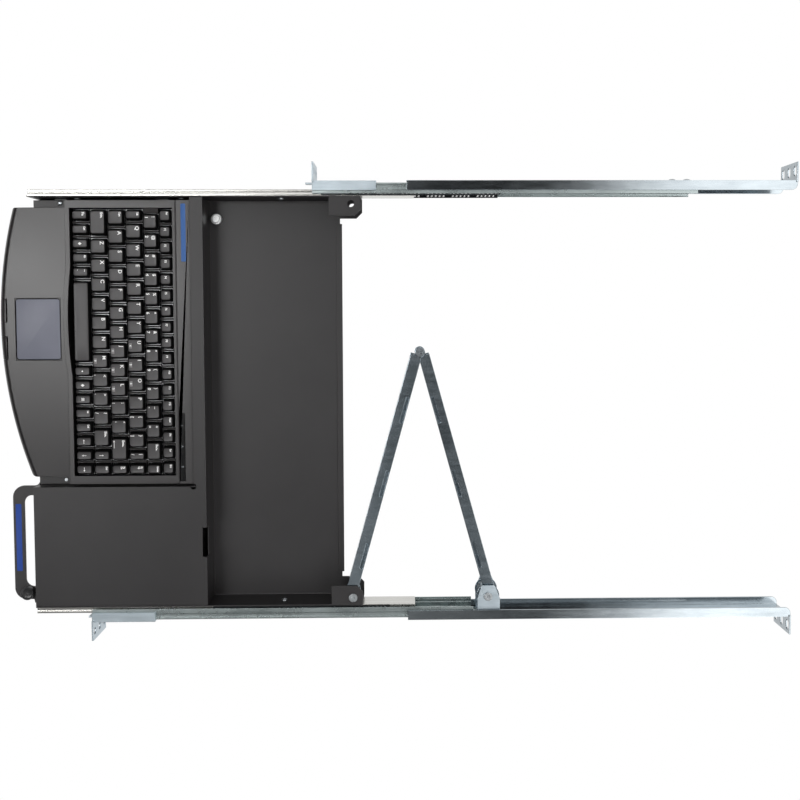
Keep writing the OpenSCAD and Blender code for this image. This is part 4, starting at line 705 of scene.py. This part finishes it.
def add_words(mesh, words, x, y, size, height_at, material, squeeze=1.0):
    """Printed letters laid on a surface whose height is known at each place."""
    letters = bpy.data.curves.new("letters", "FONT")
    letters.body = words
    letters.size = size / MM
    letters.resolution_u = 3
    letters.offset = LETTER_WEIGHT / MM
    carrier = bpy.data.objects.new("letters", letters)
    bpy.context.scene.collection.objects.link(carrier)
    flat = bpy.data.meshes.new_from_object(carrier)
    lift = {}
    for vertex in flat.vertices:
        px, py = x + vertex.co.x * MM * squeeze, y + vertex.co.y * MM
        lift[vertex.index] = mesh.verts.new((px / MM, py / MM, height_at(px, py) / MM))
    for polygon in flat.polygons:
        mesh.faces.new([lift[i] for i in polygon.vertices]).material_index = material
    bpy.data.objects.remove(carrier)
    bpy.data.curves.remove(letters)
    bpy.data.meshes.remove(flat)


sign_grey = Finish("sign_grey", Roughness=0.5)
sign_grey.feed("Base Color", sign_grey.mix(sign_grey.noise(900, 2), srgb(120, 124, 128), srgb(140, 144, 148)))
signs = bmesh.new()
for letter, x in (("1", 22.0), ("A", 43.0), ("S", 64.0)):
    add_words(signs, letter, x, FRONT_MM + SIGN_Y, SIGN_SIZE, lambda px, py: CASE_TOP + SIGN_INK, 0)
settle(signs, "lamp_signs", "drawer", "window", (sign_grey,))


# Inside the keyboard. A plated key plate guides the stems, a moulded rubber sheet with domes
# springs them, a steel plate backs it, and a small green board carries the lamps.
# The key frame is painted nearly black below the rib tops as the shade in the key wells; the rib tops keep
# their grey.
key_frame_well_shade = Finish("key_frame_well_shade", Roughness=0.8, Specular_IOR_Level=0.0)
rib = key_frame_well_shade.axis("Z").over(0.0357, 0.0003)
frame_grain = key_frame_well_shade.noise(1400, 2)
well_painted_shade = key_frame_well_shade.mix(frame_grain, srgb(2, 2, 2), srgb(7, 7, 7))
rib_grey = key_frame_well_shade.mix(frame_grain, srgb(46, 45, 45), srgb(66, 64, 64))
key_frame_well_shade.feed("Base Color", key_frame_well_shade.mix(rib, well_painted_shade, rib_grey))
round_edges("key_frame", "drawer", "frame_plastic", key_frame_well_shade, 0.00015, merge=False)

for name, dark, light, shine, metal, nodes in (
        ("inner_plate", (150, 152, 154), (186, 188, 190), (0.3, 0.45), 1.0, ("key_plate", "backing_plate")),
        ("dome_rubber", (204, 204, 198), (226, 226, 220), (0.5, 0.65), 0.0, ("membrane",)),
        ("board_green", (24, 84, 44), (40, 110, 60), (0.3, 0.4), 0.0, ("controller_board",))):
    inner = Finish(name, Metallic=metal)
    mottle = inner.noise(260, 3)
    inner.feed("Base Color", inner.mix(mottle, srgb(*dark), srgb(*light)))
    inner.feed("Roughness", mottle.within(*shine))
    for node in nodes:
        coat(node, inner)


# Keys. Moulded caps in dark grey, each with sloping sides, a rounded top edge and a shallow
# hollow that runs from front to rear; the legends are printed in white, the number pad's ones
# on pale patches. The sloping sides are painted nearly black as painted shade, darker than the
# tops. Square stems carry the caps through the plate to the rubber domes.
KEY_PITCH = 19.05
SMALL_PITCH = 14.2
ROW_PITCH = 17.6
TOP_ROW_CLOSE = 1.6
TOP_ROW_DEPTH = 13.2
WELL_LEFT = -196.0
ROWS_FRONT = FRONT_MM + 77.6
ROW_WIDTH = 14 * KEY_PITCH + 2.8
RIB = 1.6
KEY_GAP = 0.6
ROW_WEB = 0.6
CAP_LOW = 34.0
CAP_TOP = 41.0
HOLLOW = 0.28
STEM_LOW = 27.8
STEM_HALF = 2.25
STEM_LAP = 0.5
TAB_WIDTH = 13.9
SHIFT_WIDTH = 21.7
BACK_WIDTH = 22.4
ENTER_WIDTH = 26.7
SPACE_BOW = 1.6
LEGEND_SIDE, LEGEND_REAR, LEGEND_FRONT = 2.9, 2.1, 2.0
LEGEND_INK, SIGN_RISE, PATCH_RISE = 0.04, 0.02, 0.01
CAP_FACE, WHITE, PATCH, CAP_SIDE_SHADE = 0, 1, 2, 3

key_black = Finish("key_black", Specular_IOR_Level=0.5)
key_grain = key_black.noise(2600, 2)
key_shine = key_black.noise(30, 2)
key_shade = key_grain * 0.6 + key_shine * 0.4
key_black.feed("Base Color", key_black.mix(key_shade, srgb(38, 36, 37), srgb(56, 54, 55)))
key_black.feed("Roughness", key_grain.within(0.3, 0.42))
key_black.bump(key_grain, 0.1, 0.0001)
# The caps' sloping sides: painted shade, nearly black and barely glossy.
key_side_painted_shade = Finish("key_side_painted_shade", Specular_IOR_Level=0.12)
side_grain = key_side_painted_shade.noise(2600, 2)
key_side_painted_shade.feed("Base Color", key_side_painted_shade.mix(side_grain, srgb(7, 7, 7), srgb(15, 15, 15)))
key_side_painted_shade.feed("Roughness", side_grain.within(0.4, 0.55))
legend_white = Finish("legend_white", Roughness=0.5)
legend_ink = legend_white.noise(900, 2)
legend_white.feed("Base Color", legend_white.mix(legend_ink, srgb(232, 232, 230), srgb(250, 250, 248)))
patch_grey = Finish("patch_grey", Roughness=0.5)
patch_ink = patch_grey.noise(900, 2)
patch_grey.feed("Base Color", patch_grey.mix(patch_ink, srgb(104, 102, 102), srgb(122, 120, 120)))

LEFT_ARROW, RIGHT_ARROW, UP_ARROW, DOWN_ARROW = "<-", "->", "up", "down"
KEY_ROWS = [
    [(SMALL_PITCH, "Fn"), (SMALL_PITCH, "Ctrl"), (SMALL_PITCH, "gem"), (SMALL_PITCH, "Alt"),
     (SMALL_PITCH, "~`"), (ROW_WIDTH - 13 * SMALL_PITCH, "", "space_bar"), (SMALL_PITCH, "dot"),
     (SMALL_PITCH, "gem"), (SMALL_PITCH, "list"), (SMALL_PITCH, "Ins"), (SMALL_PITCH, "Del"),
     (SMALL_PITCH, LEFT_ARROW), (SMALL_PITCH, DOWN_ARROW), (SMALL_PITCH, RIGHT_ARROW)],
    [(ROW_WIDTH - 10 * KEY_PITCH - SHIFT_WIDTH - 2 * SMALL_PITCH, "Shift", "left_shift_key")]
    + [(KEY_PITCH, legend) for legend in ("Z", "X", "C", "V", "B", "N", "M0", "<,", ">.", "?/")]
    + [(SHIFT_WIDTH, "Shift", "right_shift_key"), (SMALL_PITCH, UP_ARROW), (SMALL_PITCH, "End")],
    [(ROW_WIDTH - 11 * KEY_PITCH - ENTER_WIDTH - SMALL_PITCH, "Caps")]
    + [(KEY_PITCH, legend) for legend in ("A", "S", "D", "F", "G", "H", "J1", "K2", "L3", ":;", "\"'")]
    + [(ENTER_WIDTH, "Enter", "enter_key"), (SMALL_PITCH, "Pg Dn")],
    [(TAB_WIDTH, "Tab")]
    + [(KEY_PITCH, legend) for legend in ("Q", "W", "E", "R", "T", "Y", "U4", "I5", "O6", "P", "{[", "}]")]
    + [(ROW_WIDTH - TAB_WIDTH - 12 * KEY_PITCH - SMALL_PITCH, "|/"), (SMALL_PITCH, "Pg Up")],
    [(ROW_WIDTH - 12 * KEY_PITCH - BACK_WIDTH - SMALL_PITCH, None)]
    + [(KEY_PITCH, legend)
       for legend in ("!1", "@2", "#3", "$4", "%5", "^6", "&7", "*8", "(9", ")0", "_-", "+=")]
    + [(BACK_WIDTH, "Back", "backspace_key"), (SMALL_PITCH, "Home")],
    [(ROW_WIDTH / 17, legend) for legend in ["Esc"] + ["F%d" % n for n in range(1, 13)]
     + ["Num", "Prt", "Scr", "Brk"]],
]


def row_front(row):
    return ROWS_FRONT + row * ROW_PITCH - (TOP_ROW_CLOSE if row == 5 else 0)


def row_depth(row):
    return TOP_ROW_DEPTH if row == 5 else ROW_PITCH - (TOP_ROW_CLOSE if row == 4 else 0)


def hollow_at(x, half_w):
    return HOLLOW * max(0.0, 1 - (x / half_w) ** 2)


def add_cap(mesh, centre, half_w, half_d, bow=0.0):
    """One cap; a bow pushes the middle of its front side towards the user."""
    def ring(inset_x, inset_y, radius, z, dished):
        made = []
        for x, y in rounded_ring(half_w - inset_x, half_d - inset_y, radius):
            push = bow * max(0.0, 1 - (x / half_w) ** 2) if y < 0 else 0
            drop = hollow_at(x, half_w) if dished else 0
            made.append(mesh.verts.new(((centre[0] + x) / MM, (centre[1] + y - push) / MM, (z - drop) / MM)))
        return made

    rings = [ring(0, 0, 1.1, CAP_LOW, False), ring(0.12, 0.08, 1.2, CAP_LOW + 0.5, False),
             ring(1.6, 0.75, 1.9, CAP_TOP - 1.1, False), ring(1.95, 1.05, 1.9, CAP_TOP - 0.45, False),
             ring(2.35, 1.45, 1.8, CAP_TOP - 0.12, False), ring(2.9, 2.0, 1.6, CAP_TOP, True),
             ring(2.9 + (half_w - 2.9) * 0.45, 2.0 + (half_d - 2.0) * 0.45, 0.6, CAP_TOP, True)]
    for step, (first, second) in enumerate(zip(rings, rings[1:])):
        bridge(mesh, first, second, CAP_SIDE_SHADE if step < 3 else CAP_FACE)
    middle = mesh.verts.new((centre[0] / MM, centre[1] / MM, (CAP_TOP - HOLLOW) / MM))
    last = rings[-1]
    for i in range(len(last)):
        mesh.faces.new((last[i], last[(i + 1) % len(last)], middle)).smooth = True
    mesh.faces.new(list(reversed(rings[0])))


def add_box(mesh, low, high):
    corners = [mesh.verts.new((x / MM, y / MM, z / MM)) for z in (low[2], high[2])
               for x, y in ((low[0], low[1]), (high[0], low[1]), (high[0], high[1]), (low[0], high[1]))]
    for face in ((3, 2, 1, 0), (4, 5, 6, 7), (0, 1, 5, 4), (1, 2, 6, 5), (2, 3, 7, 6), (3, 0, 4, 7)):
        mesh.faces.new([corners[i] for i in face])


def add_flat(mesh, points, z, material):
    mesh.faces.new([mesh.verts.new((x / MM, y / MM, z / MM)) for x, y in points]).material_index = material


def add_legend(mesh, legend, cx, cy, half_w, half_d):
    """Prints a key's letters or sign on its cap."""
    def height_at(x, y):
        return CAP_TOP - hollow_at(x - cx, half_w) + LEGEND_INK

    def write(words, x, y, size, squeeze=1.0):
        add_words(mesh, words, x, y, size, height_at, WHITE, squeeze)

    def sign(points):
        add_flat(mesh, points, CAP_TOP + SIGN_RISE, WHITE)

    left, rear, front = cx - half_w + LEGEND_SIDE, cy + half_d - LEGEND_REAR, cy - half_d + LEGEND_FRONT
    arrows = {UP_ARROW: 0, LEFT_ARROW: 90, DOWN_ARROW: 180, RIGHT_ARROW: 270}
    if legend in arrows:
        a = math.radians(arrows[legend])
        for shape in (((-0.9, 0.6), (0.9, 0.6), (0, 2.2)),
                      ((-0.22, -2.2), (0.22, -2.2), (0.22, 0.7), (-0.22, 0.7))):
            sign([(cx + x * math.cos(a) - y * math.sin(a), cy + x * math.sin(a) + y * math.cos(a))
                  for x, y in shape])
    elif legend == "gem":
        sign([(cx - 1.5, cy), (cx, cy - 1.9), (cx + 1.5, cy), (cx, cy + 1.9)])
    elif legend == "dot":
        sign([(cx + 0.8 * math.cos(i), cy + 0.8 * math.sin(i)) for i in range(6)])
    elif legend == "list":
        for i in (-1, 0, 1):
            sign([(cx - 1.5, cy + i - 0.3), (cx + 1.5, cy + i - 0.3), (cx + 1.5, cy + i + 0.3),
                  (cx - 1.5, cy + i + 0.3)])
    elif legend in ("Enter", "Back", "Shift"):
        write(legend, left, rear - 2.6, 3.3)
        if legend == "Enter":
            sign([(left, front + 1), (left + 1.6, front + 0.2), (left + 1.6, front + 1.8)])
            sign([(left + 1.6, front + 0.8), (left + 8, front + 0.8), (left + 8, front + 1.2),
                  (left + 1.6, front + 1.2)])
    elif len(legend) > 2 and legend[0].isalpha():
        for line, word in enumerate(legend.split(" ")):
            write(word, left, rear - 1.9 - 2.7 * line, 2.7, 0.82)
    elif legend[0] == "F" and len(legend) > 1 and half_d < 6:
        write(legend, cx - half_w + 3.2, cy - 0.6, 3.0, 0.9)
    elif len(legend) == 2 and legend[0].isalpha() and legend[1].isdigit():
        write(legend[0], left, rear - 3.2, 5.0)
        patch = [(cx - 2.6, front), (cx + 2.6, front), (cx + 2.6, front + 2.9), (cx - 2.6, front + 2.9)]
        add_flat(mesh, patch, CAP_TOP + PATCH_RISE, PATCH)
        add_words(mesh, legend[1], cx - 0.9, front + 0.5, 2.8, lambda x, y: CAP_TOP + 0.05, WHITE)
    elif len(legend) == 2 and legend != "Fn":
        write(legend[0], left, rear - 2.8, 4.3)
        write(legend[1], left, front + 0.5, 4.3)
    elif legend:
        write(legend, left, rear - 3.4, 5.2 if len(legend) == 1 else 3.6)


key_meshes = {}
for row, cells in enumerate(KEY_ROWS):
    x = WELL_LEFT
    for cell in cells:
        width, legend = cell[0], cell[1]
        node = cell[2] if len(cell) > 2 else "key_row_%d" % (row + 1)
        if legend is not None:
            mesh = key_meshes.setdefault(node, bmesh.new())
            half_w = width / 2 - RIB / 2 - KEY_GAP
            half_d = row_depth(row) / 2 - ROW_WEB / 2 - KEY_GAP
            cx, cy = x + width / 2, row_front(row) + row_depth(row) / 2
            add_cap(mesh, (cx, cy), half_w, half_d, SPACE_BOW if node == "space_bar" else 0)
            for share in ((0.25, 0.75) if width > 1.6 * KEY_PITCH else (0.5,)):
                sx = x + share * width
                add_box(mesh, (sx - STEM_HALF, cy - STEM_HALF, STEM_LOW),
                        (sx + STEM_HALF, cy + STEM_HALF, CAP_LOW + STEM_LAP))
            if legend:
                add_legend(mesh, legend, cx, cy, half_w, half_d)
        x += width

for node, mesh in key_meshes.items():
    settle(mesh, node + "_caps", node + "_body", "key_plastic",
           (key_black, legend_white, patch_grey, key_side_painted_shade), node)
